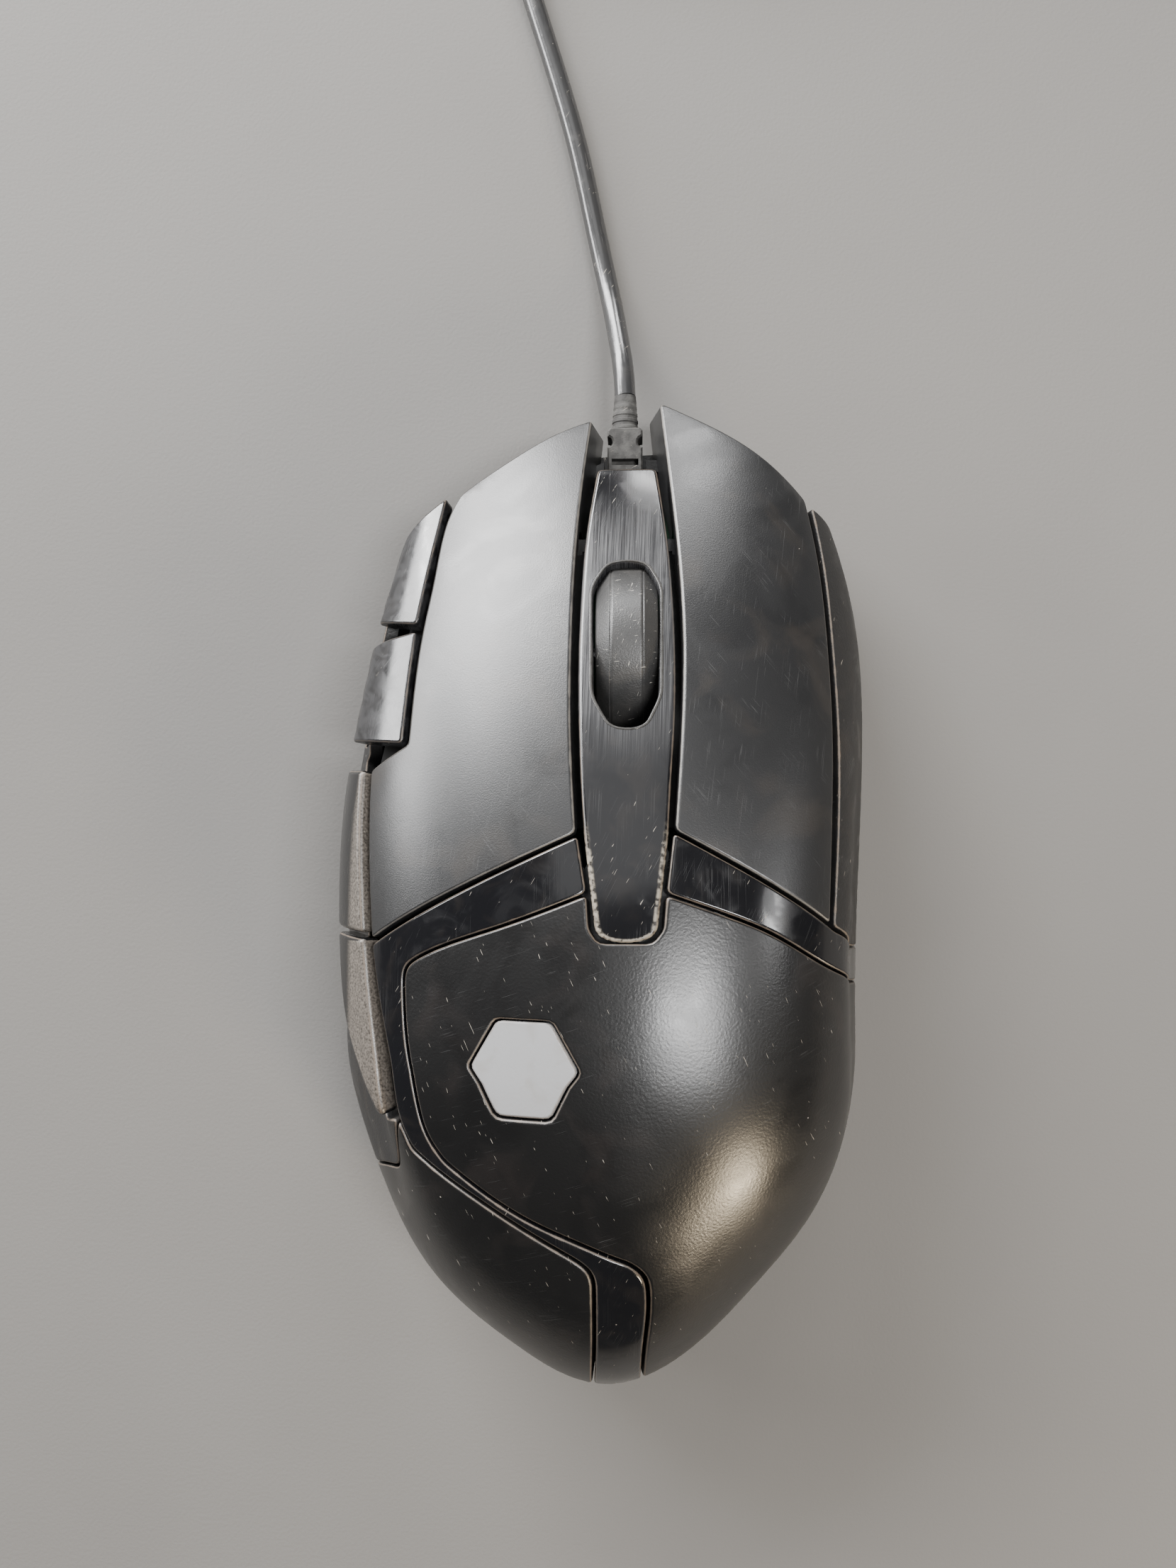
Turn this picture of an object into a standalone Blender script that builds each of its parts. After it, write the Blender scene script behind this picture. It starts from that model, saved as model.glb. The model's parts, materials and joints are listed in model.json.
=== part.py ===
"""Wired computer mouse with eight buttons, a clickable wheel and a coiled USB cable.

Run with: blender --background --python part.py

The body's lengths below are in millimetres and measured in the body's own plan: x from the
wheel's plane (+x is the right-hand side), y towards the cable, z up from the desk. place()
turns them into the model's metres, where the origin is the bottom centre of the body's box.
"""

import math

import bmesh
import bpy
import numpy as np
from mathutils import Matrix, Vector
from mathutils.geometry import delaunay_2d_cdt

# ---- Driving dimensions, in millimetres ----------------------------------------------------

WHEEL_PLANE_X = 3.8  # the wheel's plane is this far right of the body's middle
BODY_SHIFT_Y = -2.5  # moves the body so that its box is centred on the origin

CROWN_Z = 41.0  # the highest point of the back
WIDEST_Z = 9.0  # height of the widest outline
FAN_Y = -18.0  # behind this line the sections fan out round one point
NOSE_FALL = 27.5  # how far the crown falls over NOSE_RUN
NOSE_RUN = 88.0
NOSE_POWER = 1.7
SECTION_FULLNESS = 0.82  # 1 is an ellipse, less is boxier
UNDERCUT = 2.5  # how far the sides draw in below the widest outline
LOWEST_Q = 1.35  # section parameter at the desk end of the sides; 1 is the widest outline
LOWEST_Z = 1.5
SKIN_Q = 1.29  # where the side panels stop

LEFT_WIDTH = ((-18, 40.6), (0, 40.4), (14, 39.6), (26, 37.6), (40, 34.6), (55, 30.4), (72, 27.0))
RIGHT_WIDTH = ((-18, 32.3), (0, 32.6), (20, 33.0), (36, 32.2), (46, 30.4), (55, 27.6), (72, 20.0))
# Round the back: angle in degrees from straight back (minus is left) and the width there.
REAR_WIDTH = (
    (-90, 40.6), (-75, 40.0), (-60, 40.2), (-40, 42.4), (-20, 45.0), (-4, 47.4),
    (10, 43.6), (25, 38.2), (45, 34.7), (68, 32.9), (90, 32.3),
)
# The ridge over the thumb, as the section parameter along the body.
SHOULDER_Q = ((-44, 0.52), (-20, 0.53), (-10, 0.57), (0, 0.61), (10, 0.645), (20, 0.69), (60, 0.80))
THUMB_HOLLOW = 4.4
RING_FINGER_HOLLOW = 1.8

WALL = 1.8  # wall of the panels
SPINE_WALL = 1.4
SEAM = 0.5  # gap between neighbouring panels
MESH_GAP = 0.3  # gap between pieces that touch
NOSE_ROUND = 2.5
SKIRT_Z = 5.0  # lower edge of the main buttons' front skirts
SKIRT_WALL = 1.7

WHEEL_CENTRE = (-0.2, 34.6, 18.4)
WHEEL_RADIUS = 12.3
WHEEL_WIDTH = 8.0
TREAD_WIDTH = 4.2
HUB_RADIUS = 9.0
AXLE_RADIUS = 1.2
AXLE_CLEARANCE = 0.3
SLOT_CLEARANCE = 0.8  # lets the axle drop when the wheel is clicked

FLOOR_BOTTOM_Z = 1.0
FLOOR_TOP_Z = 2.8
BASE_WALL_TOP_Z = 8.5
BASE_WALL = 1.6
BASE_INSET = 4.6  # from the body's outline to the base's wall
BASE_RIM_INSET = 2.2
BASE_BOTTOM_INSET = 3.4
BOARD_BOTTOM_Z = 3.8
BOARD_TOP_Z = 5.2
BOARD_OUTLINE = (
    (14.0, -36.0), (14.0, 51.0), (9.0, 57.0), (-10.0, 57.0), (-15.5, 51.0), (-15.5, -36.0),
)

SWITCH_SIZE = (5.8, 12.8, 6.5)
SWITCH_X = (-11.0, 10.5)
SWITCH_Y = 46.4
PLUNGER_Y = 49.0
PLUNGER_HEIGHT = 0.8  # how far a plunger stands out of its switch
PLUNGER_TRAVEL = 0.7
PLUNGER_SINK = 0.3  # how much of a plunger is down its pocket at rest
WHEEL_SWITCH_HEIGHT = 5.0
HINGE_LEFT = (-18.0, 2.0, 34.0)  # the main buttons' hinge line
HINGE_RIGHT = (16.0, 2.0, 34.0)

CARRIAGE_REAR = 19.8
CARRIAGE_FRONT = 50.2
CARRIAGE_HALF_WIDTH = 7.6
CARRIAGE_BAR = 1.6
SPRING_TURNS = 5
SPRING_RADIUS = 1.9
SPRING_WIRE_RADIUS = 0.3

CORNERS = ("front_left", "front_right", "rear_left", "rear_right")
SCREW_PLACES = ((-19.5, 43.0), (18.0, 43.0), (-13.0, -44.0), (9.5, -43.0))
SCREW_SHANK = 1.15  # radius, as is the head's
SCREW_HEAD = 2.3
BOSS_RADIUS = 3.2
BOSS_TOP_Z = 10.0
FOOT_PLACES = ((-12.5, 49.5), (12.5, 49.5), (-13.0, -44.0), (9.5, -43.0))
FOOT_SIZES = ((18.0, 7.0), (18.0, 7.0), (20.0, 7.0), (16.0, 7.0))
FOOT_THICKNESS = 0.7

CABLE_DIAMETER = 3.0
CABLE_EXIT = (-0.6, 73.0, 7.5)
# The route from the strain relief to the coil; it comes down to the desk within 30 mm.
RUN_ROUTE = (
    (-0.6, 73.3, 7.5), (-0.8, 76.5, 7.1), (-1.4, 81.0, 5.6), (-2.3, 86.5, 3.4), (-3.6, 93.0, 1.9),
    (-5.1, 100.0, 1.55), (-7.5, 111.0, 1.55), (-10.6, 122.0, 1.55), (-14.4, 134.0, 1.55),
    (-17.6, 145.0, 1.55), (-19.8, 156.0, 1.65), (-20.6, 166.0, 2.2),
)
COIL_COLUMNS = 5
COIL_ROWS = 4
COIL_PITCH = 3.05
COIL_INNER_TURN = 11.5
COIL_CENTRE = (3.0, 180.0)
COIL_BOTTOM_Z = 0.9
TIE_THICKNESS = 0.5
TIE_WIDTH = 4.0

USB_SHELL = (12.0, 18.0, 4.5)
USB_SHEET = 0.4
USB_BODY = (15.6, 22.0, 8.0)
USB_PLACE = (39.0, 197.0, 4.0)  # where the cable enters the plug

PANEL_SPACING = 5.0
THUMB_ROW = (19.6, -1.9, -22.8)  # y where the two thumb buttons start, meet and end
# Height of the thumb buttons below the ridge along y, as a section parameter.
THUMB_ROW_HEIGHT = ((-23.2, 0.02), (-18.0, 0.10), (-12.5, 0.15), (-7.0, 0.17), (20.5, 0.17))
INDEX_LOW_Q = 0.86  # lower edge of the index buttons
THUMB_TIP = (28.0, 0.99)  # y and section parameter of the button at the thumb's tip

# ---- Outlines seen from above, in millimetres -------------------------------------------------

LEFT_BUTTON_INNER = (
    (-5.1, 67.7), (-5.8, 58.7), (-6.6, 45.0), (-6.8, 34.8), (-6.7, 25.1), (-5.9, 11.8),
)
LEFT_BUTTON_FRONT = ((-23.2, 57.5), (-16.3, 62.3), (-9.5, 66.3), (-5.1, 67.7))
LEFT_BUTTON_OUTER = ((-28.1, 22.9), (-27.0, 37.6), (-25.8, 45.2), (-24.0, 55.3), (-23.2, 57.5))
RIGHT_BUTTON_INNER = ((5.3, 12.2), (6.2, 25.1), (6.5, 34.7), (6.0, 47.5), (5.1, 58.6), (4.3, 70.4))
RIGHT_BUTTON_FRONT = ((4.3, 70.4), (8.7, 68.5), (13.8, 65.8), (19.0, 62.1), (24.3, 56.5))
RIGHT_BUTTON_OUTER = ((24.3, 56.5), (26.0, 44.6), (26.5, 35.3), (26.7, 24.2), (26.3, 13.5), (25.6, -0.3))
SPINE_LEFT = (
    (-5.4, 11.9), (-5.9, 18.5), (-6.2, 25.1), (-6.3, 34.8), (-6.1, 41.8), (-5.6, 50.3), (-4.3, 60.1),
)
SPINE_RIGHT = (
    (3.6, 60.1), (5.0, 50.3), (5.6, 41.8), (5.9, 34.8), (5.8, 25.1), (5.4, 18.5), (5.0, 11.9),
)
SPINE_TAB = ((3.6, 1.2), (3.1, 0.1), (2.4, -0.4), (-2.9, -0.4), (-3.6, 0.1), (-4.0, 1.2))
SLOT = (
    (1.9, 24.7), (3.9, 28.8), (4.0, 43.0), (2.1, 46.7),
    (-2.4, 46.7), (-4.6, 43.1), (-4.4, 28.8), (-2.0, 24.7),
)
PALM_FRONT_LEFT = ((-28.0, -6.8), (-27.6, -5.0), (-26.2, -3.8), (-15.8, 0.5), (-4.6, 4.8))
PALM_FRONT_RIGHT = ((4.3, 4.8), (9.8, 2.9), (16.9, 0.0), (24.4, -4.7))
STRIP_OUTER = (
    (-32.6, -2.4), (-31.3, -10.5), (-30.2, -15.9), (-29.5, -20.1), (-28.6, -24.6), (-27.0, -27.8),
)
STRIP_DIAGONAL_OUTER = ((-27.0, -27.8), (-23.2, -30.2), (-17.7, -33.2), (-10.8, -37.1), (-6.2, -39.6))
TAIL_LEFT = ((-6.2, -39.6), (-4.6, -41.0), (-4.1, -43.7), (-4.2, -51.4), (-4.6, -60.0))
STRIP_INNER = ((-28.0, -6.8), (-27.3, -15.0), (-26.0, -21.5), (-24.8, -25.5), (-22.5, -28.6))
STRIP_DIAGONAL_INNER = ((-22.5, -28.6), (-17.8, -31.6), (-10.6, -35.4), (-5.0, -37.6), (0.2, -39.7))
TAIL_RIGHT = ((0.2, -39.7), (2.0, -41.5), (2.5, -43.7), (2.2, -51.7), (1.9, -59.0))
CREASE = ((-28.8, -24.0), (-29.5, -27.0), (-30.2, -31.0))  # where the ridge over the thumb ends
NOSE = (
    (-26.0, 53.0), (-18.5, 58.5), (-9.5, 63.8), (-4.0, 66.0),
    (4.0, 66.3), (10.0, 64.8), (18.5, 59.5), (24.0, 53.0),
)
EMBLEM_CENTRE = (-12.4, -16.1)
EMBLEM_RADIUS = 6.6
LIGHT_PIPE_RADIUS = 3.0


# ---- Curves -----------------------------------------------------------------------------------


def curve(points, at, flat_start=False, flat_end=False):
    """The smooth curve y(x) through the points; a flat end has no slope there."""
    xs, ys = np.array(points, float).T
    steps = np.diff(xs)
    count = len(xs)
    system = np.zeros((count, count))
    target = np.zeros(count)
    system[0, 0] = system[-1, -1] = 1
    for i in range(1, count - 1):
        system[i, i - 1 : i + 2] = steps[i - 1], 2 * (steps[i - 1] + steps[i]), steps[i]
        target[i] = 6 * ((ys[i + 1] - ys[i]) / steps[i] - (ys[i] - ys[i - 1]) / steps[i - 1])
    if flat_start:
        system[0, :2] = 2 * steps[0], steps[0]
        target[0] = 6 * (ys[1] - ys[0]) / steps[0]
    if flat_end:
        system[-1, -2:] = steps[-1], 2 * steps[-1]
        target[-1] = -6 * (ys[-1] - ys[-2]) / steps[-1]
    bend = np.linalg.solve(system, target)
    at = np.clip(at, xs[0], xs[-1])
    i = np.clip(np.searchsorted(xs, at) - 1, 0, count - 2)
    t = at - xs[i]
    slope = (ys[i + 1] - ys[i]) / steps[i] - steps[i] * (2 * bend[i] + bend[i + 1]) / 6
    return ys[i] + slope * t + bend[i] / 2 * t**2 + (bend[i + 1] - bend[i]) / (6 * steps[i]) * t**3


def smooth_path(points, spacing):
    """Points about one spacing apart on the smooth curve through the given ones."""
    points = np.array(points, float)
    lengths = np.linalg.norm(np.diff(points, axis=0), axis=1)
    along = np.concatenate([[0], np.cumsum(lengths)])
    count = max(len(points) - 1, round(along[-1] / spacing))
    at = np.linspace(0, along[-1], count + 1)
    if len(points) == 2:
        return points[0] + (points[1] - points[0]) * (at / along[-1])[:, None]
    return np.stack([curve(np.stack([along, axis], 1), at) for axis in points.T], 1)


def closed_outline(spacing, *runs):
    """One closed outline made of smooth runs that meet at corners."""
    parts = [smooth_path(run, spacing)[:-1] for run in runs]
    return np.concatenate(parts)


def cross(a, b):
    return a[..., 0] * b[..., 1] - a[..., 1] * b[..., 0]


def area(outline):
    return cross(outline, np.roll(outline, -1, 0)).sum() / 2


def inset(outline, distance):
    """The outline moved inwards by a distance; a negative one moves it outwards."""
    if area(outline) < 0:
        outline = outline[::-1]
    before = outline - np.roll(outline, 1, 0)
    after = np.roll(outline, -1, 0) - outline
    normals = []
    for side in (before, after):
        side = side / np.linalg.norm(side, axis=1)[:, None]
        normals.append(np.stack([-side[:, 1], side[:, 0]], 1))
    middle = normals[0] + normals[1]
    reach = np.clip((middle**2).sum(1) / 2, 0.35, None)
    return outline + middle / reach[:, None] * distance


def inside(points, outline):
    """Which points lie inside a closed outline."""
    x, y = points[:, 0, None], points[:, 1, None]
    ends = np.roll(outline, -1, 0)
    x0, y0, x1, y1 = outline[:, 0], outline[:, 1], ends[:, 0], ends[:, 1]
    straddles = (y0 > y) != (y1 > y)
    rise = np.where(y1 == y0, 1, y1 - y0)
    return (straddles & (x < x0 + (y - y0) * (x1 - x0) / rise)).sum(1) % 2 == 1


# ---- The body's surface -------------------------------------------------------------------------
# Every outer panel is a region of one surface. A region is drawn on the surface's flat map,
# where a point lies q times the width away from the spine line: q is 0 on the crown, 1 on the
# widest outline and more below it.


def spine_frame(points):
    """For map points: y of the section's centre, the section's direction and the distance out."""
    points = np.asarray(points, float)
    centre = np.maximum(points[..., 1], FAN_Y)
    out = np.stack([points[..., 0], points[..., 1] - centre], -1)
    distance = np.linalg.norm(out, axis=-1)
    return centre, out / np.maximum(distance, 1e-9)[..., None], distance


def half_width(centre, direction):
    left = curve(LEFT_WIDTH, centre, flat_start=True)
    right = curve(RIGHT_WIDTH, centre, flat_start=True)
    angle = np.degrees(np.arctan2(direction[..., 0], -direction[..., 1]))
    rear = curve(REAR_WIDTH, angle, True, True)
    side = np.where(direction[..., 0] < 0, left, right)
    return np.where(direction[..., 1] < -1e-9, rear, side)


def crown_height(y):
    return CROWN_Z - NOSE_FALL * (np.clip(y - FAN_Y, 0, None) / NOSE_RUN) ** NOSE_POWER


def hump(value, start, peak, end):
    """0 outside start and end, 1 at the peak, smooth between."""
    t = np.clip(np.minimum((value - start) / (peak - start), (end - value) / (end - peak)), 0, 1)
    return t * t * (3 - 2 * t)


def hollow(centre, direction, q):
    """How far the finger hollows draw the sides in."""
    y = centre + 30 * direction[..., 1]
    shoulder = curve(SHOULDER_Q, y)
    along_thumb = hump(y, -46, -10, 44)
    thumb = THUMB_HOLLOW * along_thumb * hump(q, shoulder, shoulder + 0.2, 1.02)
    finger = RING_FINGER_HOLLOW * hump(y, -46, -5, 44) * hump(q, 0.62, 0.84, 1.05)
    return np.where(direction[..., 0] < 0, thumb, finger)


def surface(points, hollowed=True):
    """Map points to places on the outer surface."""
    centre, direction, distance = spine_frame(points)
    width = half_width(centre, direction)
    q = distance / width
    angle = np.clip(q, 0, 1) * np.pi / 2
    under = np.clip((q - 1) / (LOWEST_Q - 1), 0, 1)
    reach = width * np.sin(angle) - UNDERCUT * under**2
    if hollowed:
        reach = reach - hollow(centre, direction, q)
    z = WIDEST_Z + (crown_height(centre) - WIDEST_Z) * np.cos(angle) ** SECTION_FULLNESS
    z = z - (WIDEST_Z - LOWEST_Z) * under
    return np.stack([direction[..., 0] * reach, centre + direction[..., 1] * reach, z], -1)


def skin(points, depth=0.0, hollowed=True):
    """Places at a depth below the outer surface, along its normal."""
    points = np.asarray(points, float)
    step = 0.05
    across = surface(points + (step, 0), hollowed) - surface(points - (step, 0), hollowed)
    along = surface(points + (0, step), hollowed) - surface(points - (0, step), hollowed)
    normal = np.cross(across, along)
    normal /= np.linalg.norm(normal, axis=-1)[..., None]
    return surface(points, hollowed) - normal * depth


def on_map(*plan):
    """Map points under places seen from above."""
    plan = np.array(plan, float)
    centre, direction, distance = spine_frame(plan)
    width = half_width(centre, direction)
    q = np.arcsin(np.clip(distance / width, 0, 1)) * 2 / np.pi
    return np.stack([direction[:, 0] * q * width, centre + direction[:, 1] * q * width], 1)


def on_side(side, y, q):
    """Map point on the left (-1) or right (+1) side of a section in front of the fan."""
    return (side * q * float(half_width(np.array(y), np.array((side, 0.0)))), y)


def on_rear(angle, q):
    """Map point in the fan; the angle is in degrees from straight back, plus to the right."""
    direction = np.array((math.sin(math.radians(angle)), -math.cos(math.radians(angle))))
    reach = q * float(half_width(np.array(FAN_Y), direction))
    return (direction[0] * reach, FAN_Y + direction[1] * reach)


# ---- Objects ------------------------------------------------------------------------------------


def clear_scene():
    for obj in list(bpy.data.objects):
        bpy.data.objects.remove(obj, do_unlink=True)


def place(point):
    """A body point in millimetres as a model point in metres."""
    x, y, z = point
    return Vector((x + WHEEL_PLANE_X, y + BODY_SHIFT_Y, z)) / 1000


def material(name, color, roughness, metallic=0.0):
    made = bpy.data.materials.new(name)
    made.use_nodes = True
    shader = made.node_tree.nodes["Principled BSDF"]
    shader.inputs["Base Color"].default_value = (*color, 1)
    shader.inputs["Roughness"].default_value = roughness
    shader.inputs["Metallic"].default_value = metallic
    return made


LOOKS = {
    "matte_black": ((0.045, 0.045, 0.05), 0.5, 0.0),
    "gloss_black": ((0.012, 0.012, 0.015), 0.12, 0.0),
    "satin_black": ((0.025, 0.025, 0.028), 0.38, 0.0),
    "grip_black": ((0.035, 0.035, 0.037), 0.62, 0.0),
    "rubber_black": ((0.02, 0.02, 0.02), 0.75, 0.0),
    "window_grey": ((0.62, 0.62, 0.64), 0.3, 0.0),
    "clear_plastic": ((0.8, 0.85, 0.88), 0.1, 0.0),
    "board_green": ((0.02, 0.14, 0.06), 0.4, 0.0),
    "chip_black": ((0.02, 0.02, 0.02), 0.5, 0.0),
    "switch_white": ((0.8, 0.8, 0.78), 0.4, 0.0),
    "steel": ((0.6, 0.6, 0.62), 0.25, 1.0),
    "glide_grey": ((0.1, 0.1, 0.11), 0.35, 0.0),
}


def finish(obj, look):
    """Gives an object a Principled material of its own."""
    obj.data.materials.append(material(f"{obj.name}_{look}", *LOOKS[look]))


def add_mesh(name, mesh, look, origin=(0, 0, 0)):
    """Adds a body-space mesh in millimetres as an object whose origin is the given body point."""
    bmesh.ops.recalc_face_normals(mesh, faces=mesh.faces)
    middle = place(origin)
    for vert in mesh.verts:
        vert.co = place(vert.co) - middle
    data = bpy.data.meshes.new(name)
    mesh.to_mesh(data)
    mesh.free()
    obj = bpy.data.objects.new(name, data)
    obj.location = middle
    bpy.context.scene.collection.objects.link(obj)
    if look:
        finish(obj, look)
    data.shade_smooth()
    data.set_sharp_from_angle(angle=math.radians(35))
    return obj


def cut(obj, cutter_mesh, name, operation="DIFFERENCE"):
    """Cuts a body-space mesh out of an object, or joins it on."""
    cutter = add_mesh(name, cutter_mesh, None)
    cutter.hide_render = True
    cutter.display_type = "WIRE"
    boolean = obj.modifiers.new(name, "BOOLEAN")
    boolean.operation = operation
    boolean.object = cutter
    boolean.solver = "EXACT"


def box_into(mesh, low, high):
    size = Vector(high) - Vector(low)
    middle = (Vector(high) + Vector(low)) / 2
    bmesh.ops.create_cube(mesh, size=1, matrix=Matrix.Translation(middle) @ Matrix.Diagonal((*size, 1)))


def cylinder_into(mesh, start, end, radius, sides=16):
    start, end = Vector(start), Vector(end)
    turn = (end - start).to_track_quat("Z", "Y").to_matrix().to_4x4()
    bmesh.ops.create_cone(
        mesh, cap_ends=True, segments=sides, radius1=radius, radius2=radius,
        depth=(end - start).length, matrix=Matrix.Translation((start + end) / 2) @ turn,
    )


def box(name, low, high, look, origin=(0, 0, 0)):
    mesh = bmesh.new()
    box_into(mesh, low, high)
    return add_mesh(name, mesh, look, origin)


def cylinder(name, start, end, radius, look, origin=(0, 0, 0), sides=16):
    mesh = bmesh.new()
    cylinder_into(mesh, start, end, radius, sides)
    return add_mesh(name, mesh, look, origin)


def turned(name, profile, look, to_body, origin, sides):
    """A closed ring: the profile of (radius, height) points turned about its axis."""
    mesh = bmesh.new()
    rings = []
    for i in range(sides):
        turn = 2 * math.pi * i / sides
        ring = [(r * math.cos(turn), r * math.sin(turn), h) for r, h in profile]
        rings.append([mesh.verts.new(to_body @ Vector(point)) for point in ring])
    for ring, following in zip(rings, rings[1:] + rings[:1]):
        for i in range(len(profile)):
            j = (i + 1) % len(profile)
            mesh.faces.new((ring[i], ring[j], following[j], following[i]))
    return add_mesh(name, mesh, look, origin)


def stacked(levels):
    """A solid of equal-sized outlines at rising heights, capped at both ends."""
    mesh = bmesh.new()
    rings = [[mesh.verts.new((x, y, z)) for x, y in outline] for outline, z in levels]
    for lower, upper in zip(rings, rings[1:]):
        for i in range(len(lower)):
            j = (i + 1) % len(lower)
            mesh.faces.new((lower[i], lower[j], upper[j], upper[i]))
    mesh.faces.new(rings[0][::-1])
    mesh.faces.new(rings[-1])
    return mesh


def sheet_mesh(outline, outer, inner, holes=(), rows=(), spacing=PANEL_SPACING):
    """A closed sheet between two surfaces over an outline on the map.

    rows are extra map points, and outer and inner turn map points into body points.
    """
    low, high = outline.min(0), outline.max(0)
    grid = np.stack(np.meshgrid(*[np.arange(a, b, spacing) for a, b in zip(low, high)]), -1).reshape(-1, 2)
    keep = inside(grid, inset(outline, spacing * 0.45))
    for hole in holes:
        keep &= ~inside(grid, inset(hole, -spacing * 0.45))
    extra = []
    for row in rows:
        row = row[inside(row, inset(outline, 0.25))]
        keep &= (np.linalg.norm(grid[:, None] - row[None], axis=2) > spacing * 0.5).all(1)
        extra.append(row)
    loops = [outline, *holes]
    starts = np.cumsum([0] + [len(loop) for loop in loops])
    edges = [(s + i, s + (i + 1) % len(loop)) for s, loop in zip(starts, loops) for i in range(len(loop))]
    points = np.concatenate([*loops, *extra, grid[keep]])
    verts, _, faces, *_ = delaunay_2d_cdt([Vector(p) for p in points], edges, [], 0, 1e-5)
    flat = np.array([tuple(v) for v in verts])
    faces = np.array([tuple(face) for face in faces])
    centres = flat[faces].mean(1)
    chosen = inside(centres, outline)
    for hole in holes:
        chosen &= ~inside(centres, hole)
    return sheet_between(flat, faces[chosen], outer(flat), inner(flat))


def sheet_between(flat, faces, tops, bottoms):
    """Joins two copies of a triangulation with walls along its free edges."""
    mesh = bmesh.new()
    used = sorted(set(faces.ravel().tolist()))
    upper = {i: mesh.verts.new(tops[i]) for i in used}
    lower = {i: mesh.verts.new(bottoms[i]) for i in used}
    counts = {}
    for a, b, c in faces.tolist():
        if cross(flat[b] - flat[a], flat[c] - flat[a]) < 0:
            b, c = c, b
        mesh.faces.new((upper[a], upper[b], upper[c]))
        mesh.faces.new((lower[a], lower[c], lower[b]))
        for edge in ((a, b), (b, c), (c, a)):
            counts[edge] = 1
    for a, b in counts:
        if (b, a) not in counts:
            mesh.faces.new((upper[b], upper[a], lower[a], lower[b]))
    return mesh


def panel(name, look, runs, origin=(0, 0, 0), holes=(), depths=(0.0, WALL), hollowed=True, gap=SEAM / 2):
    """A panel of the body's skin, with half a seam left round it."""
    outline = inset(closed_outline(PANEL_SPACING * 0.8, *runs), gap)
    mesh = sheet_mesh(
        outline,
        lambda points: skin(points, depths[0], hollowed),
        lambda points: skin(points, depths[1], hollowed),
        holes,
    )
    return add_mesh(name, mesh, look, origin)


# ---- Outer pieces -------------------------------------------------------------------------------


def nose_distance(front, places):
    """How far body places lie behind a main button's front edge."""
    return (curve(front, places[:, 0]) - places[:, 1]) * 0.87


def main_button(name, front, runs, origin, rib_x):
    """A main button: its plate, its rounded nose, its front skirt and the rib over its switch."""
    outline = inset(closed_outline(PANEL_SPACING * 0.8, *runs), SEAM / 2)

    def outer(points):
        places = skin(points)
        closeness = np.clip(NOSE_ROUND - nose_distance(front, places), 0, NOSE_ROUND * 0.98)
        places[:, 2] -= NOSE_ROUND - np.sqrt(NOSE_ROUND**2 - closeness**2)
        return places

    def inner(points):
        places = skin(points, WALL)
        edge = nose_distance(front, skin(points)) < SKIRT_WALL + 0.15
        places[edge] = skin(points)[edge]
        places[edge, 2] = SKIRT_Z
        return places

    front_run = smooth_path(on_map(*front), PANEL_SPACING * 0.6)
    rows = [front_run - (0, distance) for distance in (0.9, SKIRT_WALL / 0.87, SKIRT_WALL / 0.87 + 0.6)]
    button = add_mesh(name, sheet_mesh(outline, outer, inner, rows=rows), "matte_black", origin)
    rib = bmesh.new()
    rib_bottom = standing_z() + SWITCH_SIZE[2] + PLUNGER_HEIGHT + MESH_GAP
    rib_top = float(skin(on_map((rib_x, PLUNGER_Y)), WALL / 2)[0, 2])
    box_into(rib, (rib_x - 1.4, PLUNGER_Y - 1.4, rib_bottom), (rib_x + 1.4, PLUNGER_Y + 1.4, rib_top))
    cut(button, rib, f"{name}_switch_rib", "UNION")


def main_buttons():
    main_button(
        "left_button", LEFT_BUTTON_FRONT,
        (
            on_map(*LEFT_BUTTON_INNER[::-1]), on_map(*LEFT_BUTTON_FRONT[::-1]),
            on_map(*LEFT_BUTTON_OUTER[::-1]), on_map((-28.1, 22.9), (-33.9, 19.4)),
            on_map((-33.9, 19.4), (-33.6, 9.0), (-32.6, -2.2)), on_map((-32.6, -2.2), (-5.9, 11.8)),
        ),
        HINGE_LEFT, SWITCH_X[0],
    )
    main_button(
        "right_button", RIGHT_BUTTON_FRONT,
        (
            on_map(*RIGHT_BUTTON_FRONT), on_map(*RIGHT_BUTTON_OUTER),
            on_map((25.6, -0.3), (5.3, 12.2)), on_map(*RIGHT_BUTTON_INNER),
        ),
        HINGE_RIGHT, SWITCH_X[1],
    )


def spine_cover():
    tab_left = ((-4.0, 1.2), (-5.4, 11.9))
    tab_right = ((5.0, 11.9), (3.6, 1.2))
    panel(
        "spine_cover", "gloss_black",
        (
            on_map(*SPINE_LEFT), on_map((-4.3, 60.1), (3.6, 60.1)), on_map(*SPINE_RIGHT),
            on_map(*tab_right), on_map(*SPINE_TAB), on_map(*tab_left),
        ),
        holes=(closed_outline(PANEL_SPACING, *zip(on_map(*SLOT), np.roll(on_map(*SLOT), -1, 0))),),
        gap=0.1, depths=(0.0, SPINE_WALL),
    )


def trim_edge():
    """Where the right trim meets the right side panel, from the top down."""
    return [on_side(1, -3.8, 0.8), on_side(1, -5.5, 1.0), on_side(1, -6.0, SKIN_Q)]


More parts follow.
